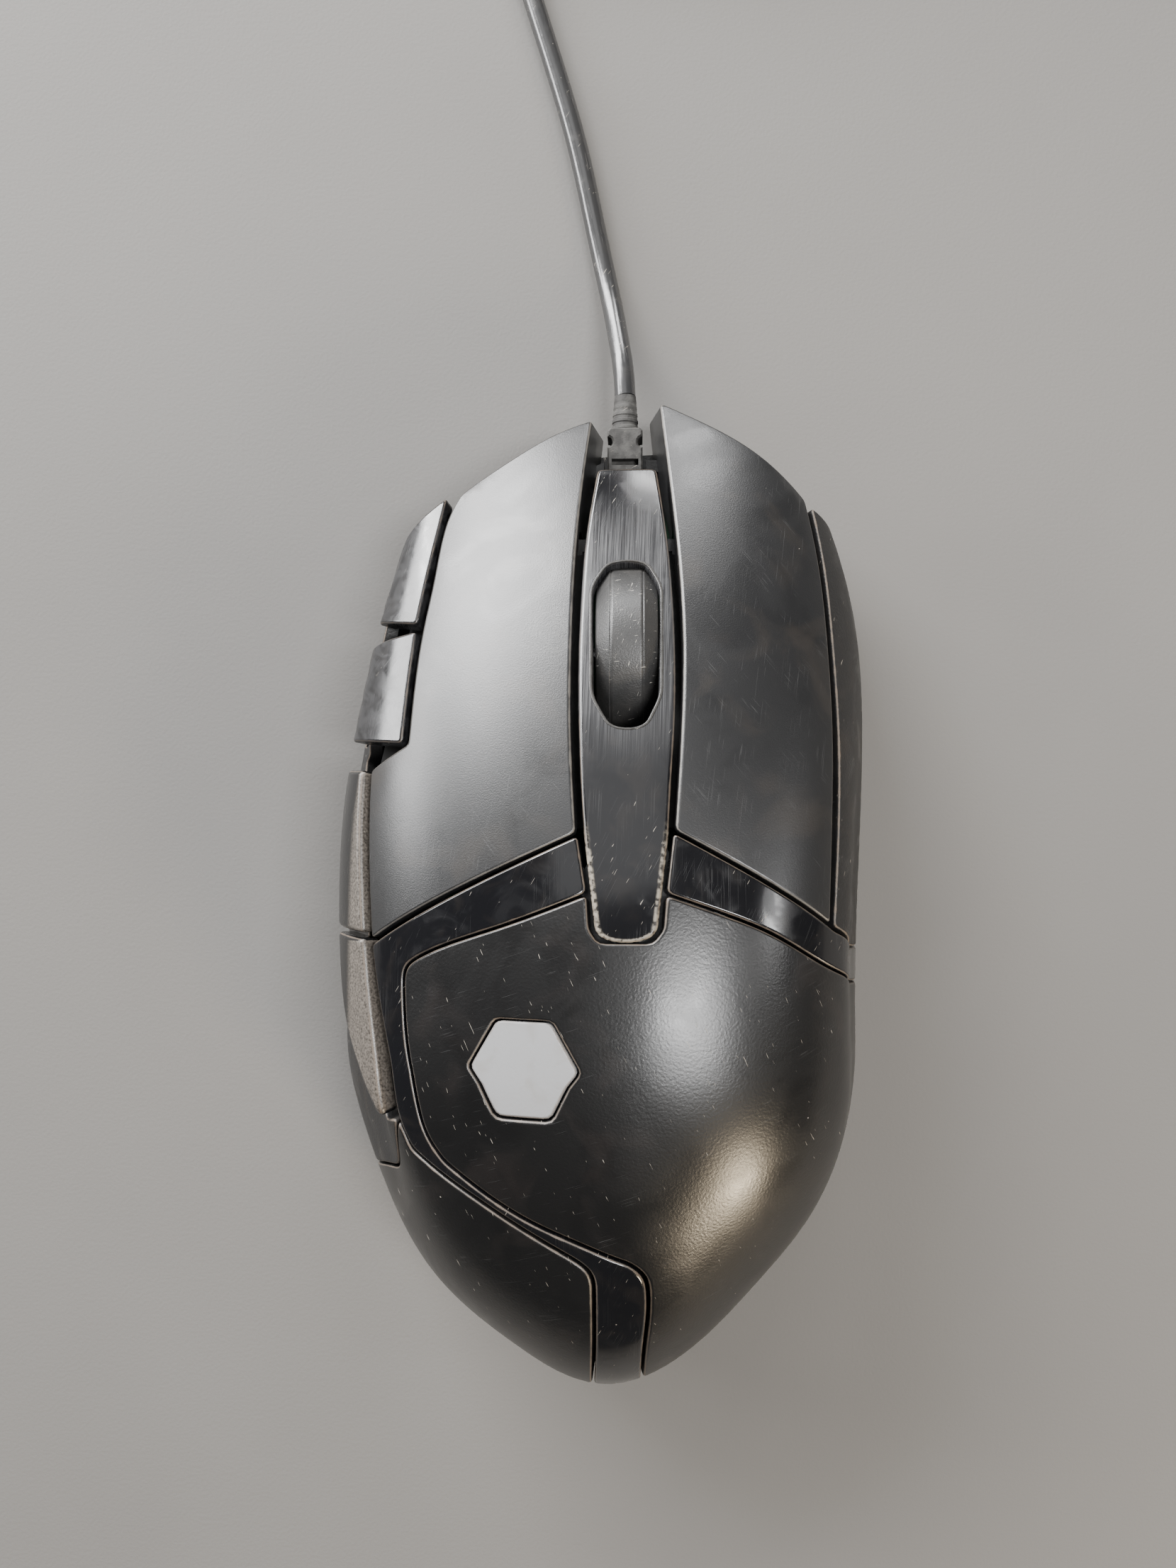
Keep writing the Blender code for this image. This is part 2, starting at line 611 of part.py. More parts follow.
def trim():
    """The glossy band behind the buttons: the left piece runs on down the strip and the tail."""
    panel(
        "trim_left", "gloss_black",
        (
            on_map((-5.9, 11.8), (-32.6, -2.4)), on_map(*STRIP_OUTER), on_map(*STRIP_DIAGONAL_OUTER),
            np.array([*on_map(*TAIL_LEFT), on_rear(-5.4, SKIN_Q)]),
            np.array([on_rear(-5.4, SKIN_Q), on_rear(2.6, SKIN_Q)]),
            np.array([on_rear(2.6, SKIN_Q), *on_map(*TAIL_RIGHT[::-1])]),
            on_map(*STRIP_DIAGONAL_INNER[::-1]), on_map(*STRIP_INNER[::-1]), on_map(*PALM_FRONT_LEFT),
            on_map((-4.6, 4.8), (-5.9, 11.8)),
        ),
    )
    panel(
        "trim_right", "gloss_black",
        (
            on_map((5.3, 12.2), (4.3, 4.8)),
            np.array([*on_map(*PALM_FRONT_RIGHT), on_side(1, -8.5, 0.8), on_side(1, -10.5, 1.0)]),
            np.array([on_side(1, -10.5, 1.0), on_side(1, -11.0, SKIN_Q)]),
            np.array([on_side(1, -11.0, SKIN_Q), on_side(1, -6.0, SKIN_Q)]),
            np.array([*trim_edge()[::-1], *on_map((25.6, -0.5))]),
            on_map((25.6, -0.3), (5.3, 12.2)),
        ),
    )


def emblem_outline(radius):
    """The hexagonal light window in the palm."""
    x, y = EMBLEM_CENTRE
    turns = [math.radians(angle) for angle in range(0, 360, 60)]
    return on_map(*[(x + radius * math.cos(turn), y + radius * math.sin(turn)) for turn in turns])


def rear_arc(start, end, q, step=7.5):
    """Map points along the fan between two angles."""
    count = max(2, math.ceil(abs(end - start) / step))
    return [on_rear(start + (end - start) * i / count, q) for i in range(count + 1)]


def palm_shell():
    right_low = [on_side(1, y, SKIN_Q) for y in (-18.0, -14.5, -11.0)]
    notch = ((-4.6, 4.8), (-4.2, 0.6), (-3.1, -0.9), (2.6, -0.9), (3.9, 0.6), (4.3, 4.8))
    panel(
        "palm_shell", "satin_black",
        (
            on_map(*STRIP_INNER), on_map(*STRIP_DIAGONAL_INNER),
            np.array([*on_map(*TAIL_RIGHT), on_rear(2.6, SKIN_Q)]),
            np.array(rear_arc(2.6, 90, SKIN_Q)), np.array(right_low),
            np.array([on_side(1, -11.0, SKIN_Q), on_side(1, -10.5, 1.0)]),
            np.array([on_side(1, -10.5, 1.0), on_side(1, -8.5, 0.8), *on_map(*PALM_FRONT_RIGHT[::-1])]),
            *[on_map(a, b) for a, b in zip(notch[::-1], notch[-2::-1])],
            on_map(*PALM_FRONT_LEFT[::-1]),
        ),
        holes=(emblem_outline(EMBLEM_RADIUS + MESH_GAP),),
    )
    window = sheet_mesh(emblem_outline(EMBLEM_RADIUS), lambda p: skin(p, 0.15), lambda p: skin(p, WALL))
    add_mesh("palm_light_window", window, "window_grey")


def left_rear_panel():
    panel(
        "left_rear_panel", "satin_black",
        (
            on_map(CREASE[0], STRIP_OUTER[-1]),
            on_map(*STRIP_DIAGONAL_OUTER), np.array([*on_map(*TAIL_LEFT), on_rear(-5.4, SKIN_Q)]),
            np.array(rear_arc(-5.4, -62, SKIN_Q)),
            np.array([on_rear(-62, SKIN_Q), on_rear(-63, 1.0), on_rear(-65, 0.75), *on_map(*CREASE[::-1])]),
        ),
    )


def ridge(y, extra=0.0):
    """Map point on the ridge over the thumb."""
    return on_side(-1, y, float(curve(SHOULDER_Q, y)) + extra)


def row_height(y):
    return float(curve(THUMB_ROW_HEIGHT, y))


def thumb_rest():
    """The left side below the ridge, cut back under the thumb and index buttons."""
    row_low = [ridge(y, row_height(y) + 0.05) for y in (-23.4, -17.5, -12.0, -6.0, 0.0, 10.0, 20.5)]
    index_low = [on_side(-1, y, INDEX_LOW_Q) for y in (22.5, 30.0, 38.0, 46.0, 52.0)]
    panel(
        "thumb_rest", "grip_black",
        (
            np.array([*on_map(*CREASE), on_rear(-65, 0.75), on_rear(-63, 1.0), on_rear(-62, SKIN_Q)]),
            np.array(rear_arc(-62, -90, SKIN_Q)),
            np.array([on_side(-1, y, SKIN_Q) for y in (-18.0, 0.0, 20.0, 40.0, 53.0)]),
            np.array([on_side(-1, 53.0, SKIN_Q), on_side(-1, 54.0, 1.0), index_low[-1]]),
            np.array(index_low[::-1]), np.array([index_low[0], row_low[-1]]),
            np.array(row_low[::-1]), np.array([row_low[0], *on_map(CREASE[0])]),
        ),
        holes=(tip_outline(0.35),),
    )


def tip_outline(margin):
    """The small button by the thumb's tip, as an oval on the map."""
    middle = np.array(on_side(-1, *THUMB_TIP))
    turns = np.linspace(0, 2 * math.pi, 12, endpoint=False)
    return middle + np.stack([(2.6 + margin) * np.cos(turns), (5.0 + margin) * np.sin(turns)], 1)


def index_buttons():
    """The two buttons beside the left button, each a little proud of the skin."""
    low_q = INDEX_LOW_Q - 0.01
    front_low = on_side(-1, 39.6, low_q)
    panel(
        "index_button_front", "gloss_black",
        (
            on_map((-28.0, 39.0), (-26.6, 46.0), (-24.7, 56.4)),
            on_map((-24.7, 56.4), (-27.7, 53.9), (-29.6, 51.5)),
            np.array([*on_map((-29.6, 51.5)), on_side(-1, 46.0, low_q), front_low]),
            np.array([front_low, *on_map((-28.0, 39.0))]),
        ),
        hollowed=False, depths=(-0.3, 2.0),
    )
    rear_low = on_side(-1, 35.6, low_q), on_side(-1, 23.4, low_q)
    panel(
        "index_button_rear", "gloss_black",
        (
            on_map((-28.8, 23.2), (-28.4, 30.0), (-28.0, 37.6)),
            np.array([*on_map((-28.0, 37.6)), rear_low[0]]), np.array(rear_low),
            np.array([rear_low[1], *on_map((-28.8, 23.2))]),
        ),
        hollowed=False, depths=(-0.3, 2.0),
    )


def thumb_buttons():
    """The two buttons over the thumb and the small one at its tip, each proud of the skin."""
    for name, start, end in zip(("thumb_button_front", "thumb_button_rear"), THUMB_ROW, THUMB_ROW[1:]):
        stretch = np.linspace(start - 0.2, end + 0.2, 5)
        low = [ridge(y, 0.015 + row_height(y)) for y in stretch]
        high = [ridge(y, 0.01) for y in stretch]
        panel(
            name, "gloss_black",
            (
                np.array(high), np.array([high[-1], low[-1]]),
                np.array(low[::-1]), np.array([low[0], high[0]]),
            ),
            hollowed=False, depths=(-0.8, 2.4),
        )
    tip = sheet_mesh(tip_outline(0), lambda p: skin(p, -0.5), lambda p: skin(p, WALL + 0.4), spacing=3.0)
    add_mesh("thumb_tip_button", tip, "satin_black")


def right_side_panel():
    panel(
        "right_side_panel", "grip_black",
        (
            on_map((25.0, 55.6), (26.3, 45.5), (26.8, 35.3), (27.1, 24.2), (26.8, 13.5), (25.8, -0.3)),
            np.array([*on_map((25.8, -0.3)), *trim_edge()]),
            np.array([on_side(1, y, SKIN_Q) for y in (-6.0, 8.0, 22.0, 36.0, 50.0)]),
            np.array([on_side(1, 50.0, SKIN_Q), on_side(1, 52.5, 1.0), *on_map((25.0, 55.6))]),
        ),
    )


def base_outline(distance):
    """The body's outline from above, moved in by a distance; the nose lies behind the skirts."""
    sides = []
    for y in np.linspace(46, FAN_Y, 9)[:-1]:
        sides.append((float(half_width(np.array(y), np.array((1.0, 0.0)))) - distance, y))
    for angle in np.linspace(90, -90, 25):
        direction = np.array((math.sin(math.radians(angle)), -math.cos(math.radians(angle))))
        reach = float(half_width(np.array(FAN_Y), direction)) - distance
        sides.append((direction[0] * reach, FAN_Y + direction[1] * reach))
    for y in np.linspace(FAN_Y, 46, 9)[1:]:
        sides.append((distance - float(half_width(np.array(y), np.array((-1.0, 0.0)))), y))
    for x, y in NOSE:
        out = Vector((x, y - 40)).normalized() * max(0.0, distance - 2.0)
        sides.append((x - out.x, y - out.y))
    return np.array(sides)


def base_shell():
    """The tray under the body, with its screw bosses, sensor window and cable exit."""
    rim = base_outline(BASE_RIM_INSET)
    wall_out = base_outline(BASE_INSET)
    wall_in = base_outline(BASE_INSET + BASE_WALL)
    mesh = stacked(
        (
            (base_outline(BASE_BOTTOM_INSET), FLOOR_BOTTOM_Z), (rim, FLOOR_BOTTOM_Z + 0.8),
            (rim, FLOOR_BOTTOM_Z + 1.1), (wall_out, FLOOR_BOTTOM_Z + 1.1),
            (wall_out, BASE_WALL_TOP_Z), (wall_in, BASE_WALL_TOP_Z), (wall_in, FLOOR_TOP_Z),
        )
    )
    shell = add_mesh("base_shell", mesh, "satin_black")
    bosses = bmesh.new()
    for x, y in SCREW_PLACES:
        cylinder_into(bosses, (x, y, FLOOR_TOP_Z - 0.6), (x, y, BOSS_TOP_Z), BOSS_RADIUS)
    cut(shell, bosses, "screw_bosses", "UNION")
    bores = (
        ("shank_holes", BOSS_TOP_Z + 1, SCREW_SHANK),
        ("head_recesses", FLOOR_BOTTOM_Z + 1, SCREW_HEAD),
    )
    for hole, top, radius in bores:
        holes = bmesh.new()
        for x, y in SCREW_PLACES:
            cylinder_into(holes, (x, y, FLOOR_BOTTOM_Z - 1), (x, y, top), radius + MESH_GAP)
        cut(shell, holes, hole)
    window = bmesh.new()
    box_into(window, (-4.0, 2.0, FLOOR_BOTTOM_Z - 1), (3.6, 11.0, FLOOR_TOP_Z + 1))
    cut(shell, window, "sensor_window")
    exit_slot = bmesh.new()
    x, y, z = CABLE_EXIT
    box_into(exit_slot, (x - 3.0, y - 15, z - 3.2), (x + 3.0, y - 1, BASE_WALL_TOP_Z + 4))
    cut(shell, exit_slot, "cable_exit")


def screws():
    head_top = FLOOR_BOTTOM_Z + 1.0 - MESH_GAP
    for corner, (x, y) in zip(CORNERS, SCREW_PLACES):
        name = f"screw_{corner}"
        screw = cylinder(name, (x, y, FLOOR_BOTTOM_Z), (x, y, head_top), SCREW_HEAD, "steel")
        shank = bmesh.new()
        cylinder_into(shank, (x, y, head_top - 0.3), (x, y, BOSS_TOP_Z - 0.5), SCREW_SHANK, 12)
        cut(screw, shank, f"{name}_shank", "UNION")


def rounded_rectangle(middle, size, radius, corner_points=4):
    """Outline points of a rectangle with round corners."""
    x, y = middle
    half = Vector(size) / 2
    points = []
    for quarter, (sx, sy) in enumerate(((1, 1), (-1, 1), (-1, -1), (1, -1))):
        for i in range(corner_points):
            turn = math.radians(90 * (quarter + i / (corner_points - 1)))
            corner = (x + sx * (half.x - radius), y + sy * (half.y - radius))
            points.append((corner[0] + radius * math.cos(turn), corner[1] + radius * math.sin(turn)))
    return points


def glide_feet():
    for corner, middle, size in zip(CORNERS, FOOT_PLACES, FOOT_SIZES):
        outline = rounded_rectangle(middle, size, size[1] * 0.45)
        foot = stacked(((outline, 0.0), (outline, FOOT_THICKNESS)))
        add_mesh(f"glide_foot_{corner}", foot, "glide_grey")


# ---- Inside the body ----------------------------------------------------------------------------


def top_frame():
    """The frame under the palm that carries the palm shell and the trim."""
    runs = (
        on_map((-20.0, 2.0), (-24.0, -8.0), (-22.0, -22.0), (-12.0, -38.0), (0.0, -44.0)),
        on_map((0.0, -44.0), (12.0, -36.0), (20.0, -22.0), (22.0, -10.0), (20.0, -2.0)),
        on_map((20.0, -2.0), (8.0, 6.0), (4.0, 21.0)),
        on_map((4.0, 21.0), (-4.0, 21.0)),
        on_map((-4.0, 21.0), (-8.0, 6.0), (-20.0, 2.0)),
    )
    panel(
        "top_frame", "satin_black", runs, depths=(WALL + 0.5, WALL + 2.1),
        holes=(emblem_outline(EMBLEM_RADIUS - 0.5),),
    )


def standing_z():
    """Where what stands on the main board starts."""
    return BOARD_TOP_Z + MESH_GAP


def boards():
    """The main board, the side board and what they carry apart from the switches."""
    board = stacked(((BOARD_OUTLINE, BOARD_BOTTOM_Z), (BOARD_OUTLINE, BOARD_TOP_Z)))
    add_mesh("main_board", board, "board_green")
    box("side_board", (-24.6, -20.0, 6.5), (-23.2, 39.0, 18.5), "board_green")
    standing = standing_z()
    box("controller_chip", (-7.0, -30.0, standing), (0.0, -23.0, standing + 1.2), "chip_black")
    box("sensor_chip", (-5.2, 1.5, standing), (4.8, 11.5, standing + 2.6), "chip_black")
    lens_top = BOARD_BOTTOM_Z - MESH_GAP
    box("sensor_lens", (-3.6, 2.4, FLOOR_BOTTOM_Z + 0.5), (3.2, 10.6, lens_top), "clear_plastic")
    box("cable_connector", (-3.6, 52.4, standing), (2.4, 56.4, standing + 3.4), "switch_white")
    x, y = EMBLEM_CENTRE
    cylinder("palm_led", (x, y, standing), (x, y, standing + 2.0), 1.5, "clear_plastic")
    low_edge = on_map((x - LIGHT_PIPE_RADIUS - 0.5, y))
    pipe_top = float(skin(low_edge, WALL)[0, 2]) - MESH_GAP
    cylinder("light_pipe", (x, y, standing + 2.4), (x, y, pipe_top), LIGHT_PIPE_RADIUS, "clear_plastic")


def pocketed_switch(name, low, high, plunger):
    """A microswitch with a pocket that its plunger sinks into. plunger is (x, y, width, depth)."""
    switch = box(name, low, high, "chip_black")
    x, y, width, depth = plunger
    half = Vector((width / 2 + MESH_GAP, depth / 2 + MESH_GAP))
    pocket = bmesh.new()
    floor = high[2] - PLUNGER_SINK - PLUNGER_TRAVEL - MESH_GAP
    box_into(pocket, (x - half.x, y - half.y, floor), (x + half.x, y + half.y, high[2] + 1))
    cut(switch, pocket, f"{name}_pocket")
    bottom = high[2] - PLUNGER_SINK
    corner = (x - width / 2, y - depth / 2, bottom)
    opposite = (x + width / 2, y + depth / 2, high[2] + PLUNGER_HEIGHT)
    box(f"{name}_plunger", corner, opposite, "switch_white", (x, y, bottom))


def main_switches():
    """The switches under the main buttons and the one that the wheel's carriage presses."""
    standing = standing_z()
    width, depth, height = SWITCH_SIZE
    for side, x in zip(("left", "right"), SWITCH_X):
        low = (x - width / 2, SWITCH_Y - depth / 2, standing)
        high = (x + width / 2, SWITCH_Y + depth / 2, standing + height)
        pocketed_switch(f"{side}_switch", low, high, (x, PLUNGER_Y, 1.2, 2.0))
    x, y = WHEEL_CENTRE[0], CARRIAGE_REAR + CARRIAGE_BAR / 2
    low, high = (x - 3.0, y - 3.0, standing), (x + 3.0, y + 3.0, standing + WHEEL_SWITCH_HEIGHT)
    pocketed_switch("wheel_switch", low, high, (x, y, 1.6, 1.6))


def side_switches():
    """The switches on the side board: name, y, lowest z and how far each reaches outwards."""
    board_face = -24.9
    for name, y, z, reach in (
        ("index_switch_front", 36.0, 8.0, 2.6), ("index_switch_rear", 28.5, 8.0, 2.6),
        ("tip_switch", 20.5, 8.0, 3.2), ("thumb_switch_front", 9.0, 12.5, 3.6),
        ("thumb_switch_rear", -12.0, 14.0, 2.6),
    ):
        box(name, (board_face - reach, y - 3.0, z), (board_face, y + 3.0, z + 5.0), "chip_black")


def wheel():
    """The wheel and the axle that turns with it."""
    x, y, z = WHEEL_CENTRE
    across = Matrix.Translation(WHEEL_CENTRE) @ Matrix.Rotation(math.radians(90), 4, "Y")
    half, tread = WHEEL_WIDTH / 2, TREAD_WIDTH / 2
    chamfer = WHEEL_RADIUS - 1.9
    tyre = (
        (HUB_RADIUS + MESH_GAP, -half), (chamfer, -half), (WHEEL_RADIUS, -tread),
        (WHEEL_RADIUS, tread), (chamfer, half), (HUB_RADIUS + MESH_GAP, half),
    )
    turned("wheel_tyre", tyre, "rubber_black", across, WHEEL_CENTRE, 40)
    bore, boss, dish, web = AXLE_RADIUS + AXLE_CLEARANCE, 3.4, 7.2, 1.6
    side = half - MESH_GAP
    left_face = (
        (bore, -side), (boss, -side), (boss, -web), (dish, -web), (dish, -side), (HUB_RADIUS, -side),
    )
    right_face = tuple((radius, -height) for radius, height in left_face[::-1])
    turned("wheel_hub", left_face + right_face, "matte_black", across, WHEEL_CENTRE, 24)
    cylinder("wheel_axle", (x - 8.9, y, z), (x + 11.5, y, z), AXLE_RADIUS, "steel", WHEEL_CENTRE, 12)


def wheel_carriage():
    """The frame that holds the axle, with the leg that presses the wheel's switch."""
    x, y, z = WHEEL_CENTRE
    left, right, bar = x - CARRIAGE_HALF_WIDTH, x + CARRIAGE_HALF_WIDTH, CARRIAGE_BAR
    low, high = (left, CARRIAGE_REAR, z - 2.0), (right, CARRIAGE_FRONT, z + 1.7)
    carriage = box("wheel_carriage", low, high, "matte_black", WHEEL_CENTRE)
    opening = bmesh.new()
    box_into(opening, (left + bar, CARRIAGE_REAR + bar, z - 4), (right - bar, CARRIAGE_FRONT - bar, z + 4))
    cut(carriage, opening, "carriage_opening")
    hole = bmesh.new()
    cylinder_into(hole, (x - 20, y, z), (x + 20, y, z), AXLE_RADIUS + AXLE_CLEARANCE, 12)
    cut(carriage, hole, "carriage_axle_hole")
    leg = bmesh.new()
    leg_bottom = standing_z() + WHEEL_SWITCH_HEIGHT + PLUNGER_HEIGHT + MESH_GAP
    leg_y = CARRIAGE_REAR + bar / 2
    box_into(leg, (x - 1.2, leg_y - 0.6, leg_bottom), (x + 1.2, leg_y + 0.6, z - 1.5))
    cut(carriage, leg, "carriage_leg", "UNION")


def wheel_encoder():
    """The encoder beside the wheel; its slot lets the axle drop when the wheel is clicked."""
    x, y, z = WHEEL_CENTRE
    low, high = (x + 8.4, y - 4.5, standing_z()), (x + 12.4, y + 4.0, z + 4.5)
    encoder = box("wheel_encoder", low, high, "chip_black")
    slot = bmesh.new()
    cylinder_into(slot, (x + 5, y, z), (x + 15, y, z), AXLE_RADIUS + SLOT_CLEARANCE, 12)
    cut(encoder, slot, "encoder_axle_slot")


def wire(name, points, radius, resolution, look):
    """A round bar along body points."""
    data = bpy.data.curves.new(name, "CURVE")
    data.dimensions = "3D"
    data.bevel_depth = radius / 1000
    data.bevel_resolution = resolution
    data.use_fill_caps = True
    line = data.splines.new("POLY")
    line.points.add(len(points) - 1)
    for point, spot in zip(line.points, points):
        point.co = (*place(spot), 1)
    obj = bpy.data.objects.new(name, data)
    bpy.context.scene.collection.objects.link(obj)
    finish(obj, look)


def wheel_spring():
    """The spring that lifts the front of the carriage."""
    x, y = WHEEL_CENTRE[0], CARRIAGE_FRONT - CARRIAGE_BAR / 2
    bottom, top = BOARD_TOP_Z + 1.0, WHEEL_CENTRE[2] - 2.8
    per_turn = 10
    count = SPRING_TURNS * per_turn
    points = []
    for i in range(count + 1):
        turn = 2 * math.pi * i / per_turn
        height = bottom + (top - bottom) * i / count
        points.append((x + SPRING_RADIUS * math.cos(turn), y + SPRING_RADIUS * math.sin(turn), height))
    wire("wheel_spring", points, SPRING_WIRE_RADIUS, 0, "steel")


# ---- Cable --------------------------------------------------------------------------------------

def coil_outer_turn():
    return COIL_INNER_TURN + COIL_PITCH * (COIL_COLUMNS - 1)


def coil_top():
    return COIL_BOTTOM_Z + COIL_PITCH * COIL_ROWS


def tail_route():
    """From the top of the coil's far side, down beside it and back to the plug."""
    x, y = COIL_CENTRE
    far_y = y + coil_outer_turn()
    top_turn = coil_top() - COIL_PITCH / 2
    plug_x, plug_y, plug_z = USB_PLACE
    return (
        (x + 9.5, far_y + 2.6, top_turn - 1.0), (x + 14.0, far_y + 3.6, top_turn - 2.6),
        (x + 20.0, far_y + 5.4, top_turn - 4.9), (x + 26.5, far_y + 6.6, 4.4),
        (plug_x - 3.6, plug_y + 9.4, 4.0), (plug_x - 0.5, plug_y + 4.6, plug_z),
        (plug_x, plug_y + MESH_GAP, plug_z),
    )


def cable(name, route):
    wire(name, smooth_path(route, CABLE_DIAMETER * 2.2), CABLE_DIAMETER / 2, 2, "rubber_black")


def lying_down(mesh):
    """Turns a mesh that was stacked upwards so that it is stacked along y."""
    for vert in mesh.verts:
        vert.co = (vert.co.x, vert.co.z, vert.co.y)
    return mesh


def strain_relief():
    """The block that the shell holds and the sleeve round the cable in front of it."""
    x, _, z = CABLE_EXIT
    block = rounded_rectangle((x, z), (5.0, 5.0), 1.2)
    neck = rounded_rectangle((x, z), (3.5, 3.5), 1.74)
    tip = rounded_rectangle((x, z), (3.1, 3.1), 1.54)
    mesh = stacked(((block, 60.6), (block, 68.0), (neck, 68.6), (tip, CABLE_EXIT[1])))
    add_mesh("strain_relief", lying_down(mesh), "rubber_black")


def coil():
    """The wound part of the cable as one solid ring."""
    inner = COIL_INNER_TURN - CABLE_DIAMETER / 2
    outer = coil_outer_turn() + CABLE_DIAMETER / 2
    low, high = COIL_BOTTOM_Z, coil_top()
    round_off = 1.2
    profile = (
        (inner + round_off, low), (inner, low + round_off),
        (inner, high - round_off), (inner + round_off, high),
        (outer - round_off, high), (outer, high - round_off),
        (outer, low + round_off), (outer - round_off, low),
    )
    to_body = Matrix.Translation((*COIL_CENTRE, 0))
    turned("cable_coil", profile, "rubber_black", to_body, (*COIL_CENTRE, 0), 40)
    coil_tie(inner, outer, low, high)


def coil_tie(inner, outer, low, high):
    """A hook-and-loop band round the coil's bundle, on the side away from the plug."""
    x, y = COIL_CENTRE
    half, wall = TIE_WIDTH / 2, TIE_THICKNESS
    near = x - math.sqrt(inner**2 - half**2) + MESH_GAP + 0.1
    far = x - outer - MESH_GAP
    bottom, top = low - MESH_GAP, high + MESH_GAP
    corner, opposite = (far - wall, y - half, bottom - wall), (near + wall, y + half, top + wall)
    tie = box("cable_tie", corner, opposite, "grip_black")
    opening = bmesh.new()
    box_into(opening, (far, y - TIE_WIDTH, bottom), (near, y + TIE_WIDTH, top))
    cut(tie, opening, "tie_opening")


def usb_plug():
    """The plug lies on the desk with its mouth towards the mouse."""
    x, y, z = USB_PLACE
    width, length, height = USB_BODY
    outline = rounded_rectangle((x, z), (width, height), 1.6)
    add_mesh("usb_plug_body", lying_down(stacked(((outline, y - length), (outline, y)))), "rubber_black")
    rear = y - length - MESH_GAP
    width, length, height = USB_SHELL
    left, right, bottom, top = x - width / 2, x + width / 2, z - height / 2, z + height / 2
    shell = box("usb_plug_shell", (left, rear - length, bottom), (right, rear, top), "steel")
    mouth = bmesh.new()
    sheet, mouth_end = USB_SHEET, rear - 3.0
    corner = (left + sheet, rear - length - 2, bottom + sheet)
    box_into(mouth, corner, (right - sheet, mouth_end, top - sheet))
    cut(shell, mouth, "usb_mouth")
    tongue_top = top - sheet - MESH_GAP
    box(
        "usb_contact_block", (left + 2 * sheet, rear - length + 0.6, tongue_top - 1.7),
        (right - 2 * sheet, mouth_end - MESH_GAP, tongue_top), "switch_white",
    )


def main():
    clear_scene()
    main_buttons()
    spine_cover()
    trim()
    palm_shell()
    left_rear_panel()
    thumb_rest()
    index_buttons()
    thumb_buttons()
    right_side_panel()
    base_shell()
    screws()
    glide_feet()
    top_frame()
    boards()
    main_switches()
    side_switches()
    wheel()
    wheel_carriage()
    wheel_encoder()
    wheel_spring()
    strain_relief()
    cable("cable_run", RUN_ROUTE)
    cable("cable_tail", tail_route())
    coil()
    usb_plug()


main()
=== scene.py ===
"""The looks of the wired computer mouse: fine panels, worn plastics, the cable and the studio.

Lengths are in millimetres in the body's own plan, as in the CAD source: x from the wheel's plane,
y towards the cable, z up from the desk. to_frame() turns them into the frame's metres.
"""

import json
import math

import bmesh
import bpy
import numpy as np
from mathutils import Matrix, Vector
from mathutils.geometry import delaunay_2d_cdt


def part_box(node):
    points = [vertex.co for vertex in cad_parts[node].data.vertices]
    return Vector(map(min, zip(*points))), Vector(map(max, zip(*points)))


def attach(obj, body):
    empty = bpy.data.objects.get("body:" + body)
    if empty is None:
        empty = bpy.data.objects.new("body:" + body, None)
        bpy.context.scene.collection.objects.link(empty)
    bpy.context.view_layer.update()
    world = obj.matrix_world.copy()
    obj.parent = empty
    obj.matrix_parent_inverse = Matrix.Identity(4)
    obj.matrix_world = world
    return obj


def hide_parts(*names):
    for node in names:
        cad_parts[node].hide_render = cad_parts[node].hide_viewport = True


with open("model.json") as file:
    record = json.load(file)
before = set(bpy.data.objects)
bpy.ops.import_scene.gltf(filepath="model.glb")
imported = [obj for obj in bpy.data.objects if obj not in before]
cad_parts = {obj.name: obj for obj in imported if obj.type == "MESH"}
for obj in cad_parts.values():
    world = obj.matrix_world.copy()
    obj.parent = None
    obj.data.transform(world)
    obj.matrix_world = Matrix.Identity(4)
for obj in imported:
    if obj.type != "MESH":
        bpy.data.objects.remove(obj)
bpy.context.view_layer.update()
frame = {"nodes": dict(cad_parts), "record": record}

# ---- The body's form, as in the CAD source --------------------------------------------------------

WHEEL_PLANE_X = 3.8
BODY_SHIFT_Y = -2.5
CROWN_Z = 41.0
WIDEST_Z = 9.0
FAN_Y = -18.0
NOSE_FALL = 27.5
NOSE_RUN = 88.0
NOSE_POWER = 1.7
SECTION_FULLNESS = 0.82
UNDERCUT = 2.5
LOWEST_Q = 1.35
LOWEST_Z = 1.5
SKIN_Q = 1.29
LEFT_WIDTH = ((-18, 40.6), (0, 40.4), (14, 39.6), (26, 37.6), (40, 34.6), (55, 30.4), (72, 27.0))
RIGHT_WIDTH = ((-18, 32.3), (0, 32.6), (20, 33.0), (36, 32.2), (46, 30.4), (55, 27.6), (72, 20.0))
REAR_WIDTH = (
    (-90, 40.6), (-75, 40.0), (-60, 40.2), (-40, 42.4), (-20, 45.0), (-4, 47.4),
    (10, 43.6), (25, 38.2), (45, 34.7), (68, 32.9), (90, 32.3),
)
SHOULDER_Q = ((-44, 0.52), (-20, 0.53), (-10, 0.57), (0, 0.61), (10, 0.645), (20, 0.69), (60, 0.80))
FAN_DEPTH = 30.0
THUMB_HOLLOW = 4.4
THUMB_HOLLOW_Y = (-46, -10, 44)
FINGER_HOLLOW = 1.8
FINGER_HOLLOW_Y = (-46, -5, 44)
FINGER_HOLLOW_Q = (0.62, 0.84, 1.05)

# ---- Walls and seams of the panels ----------------------------------------------------------------

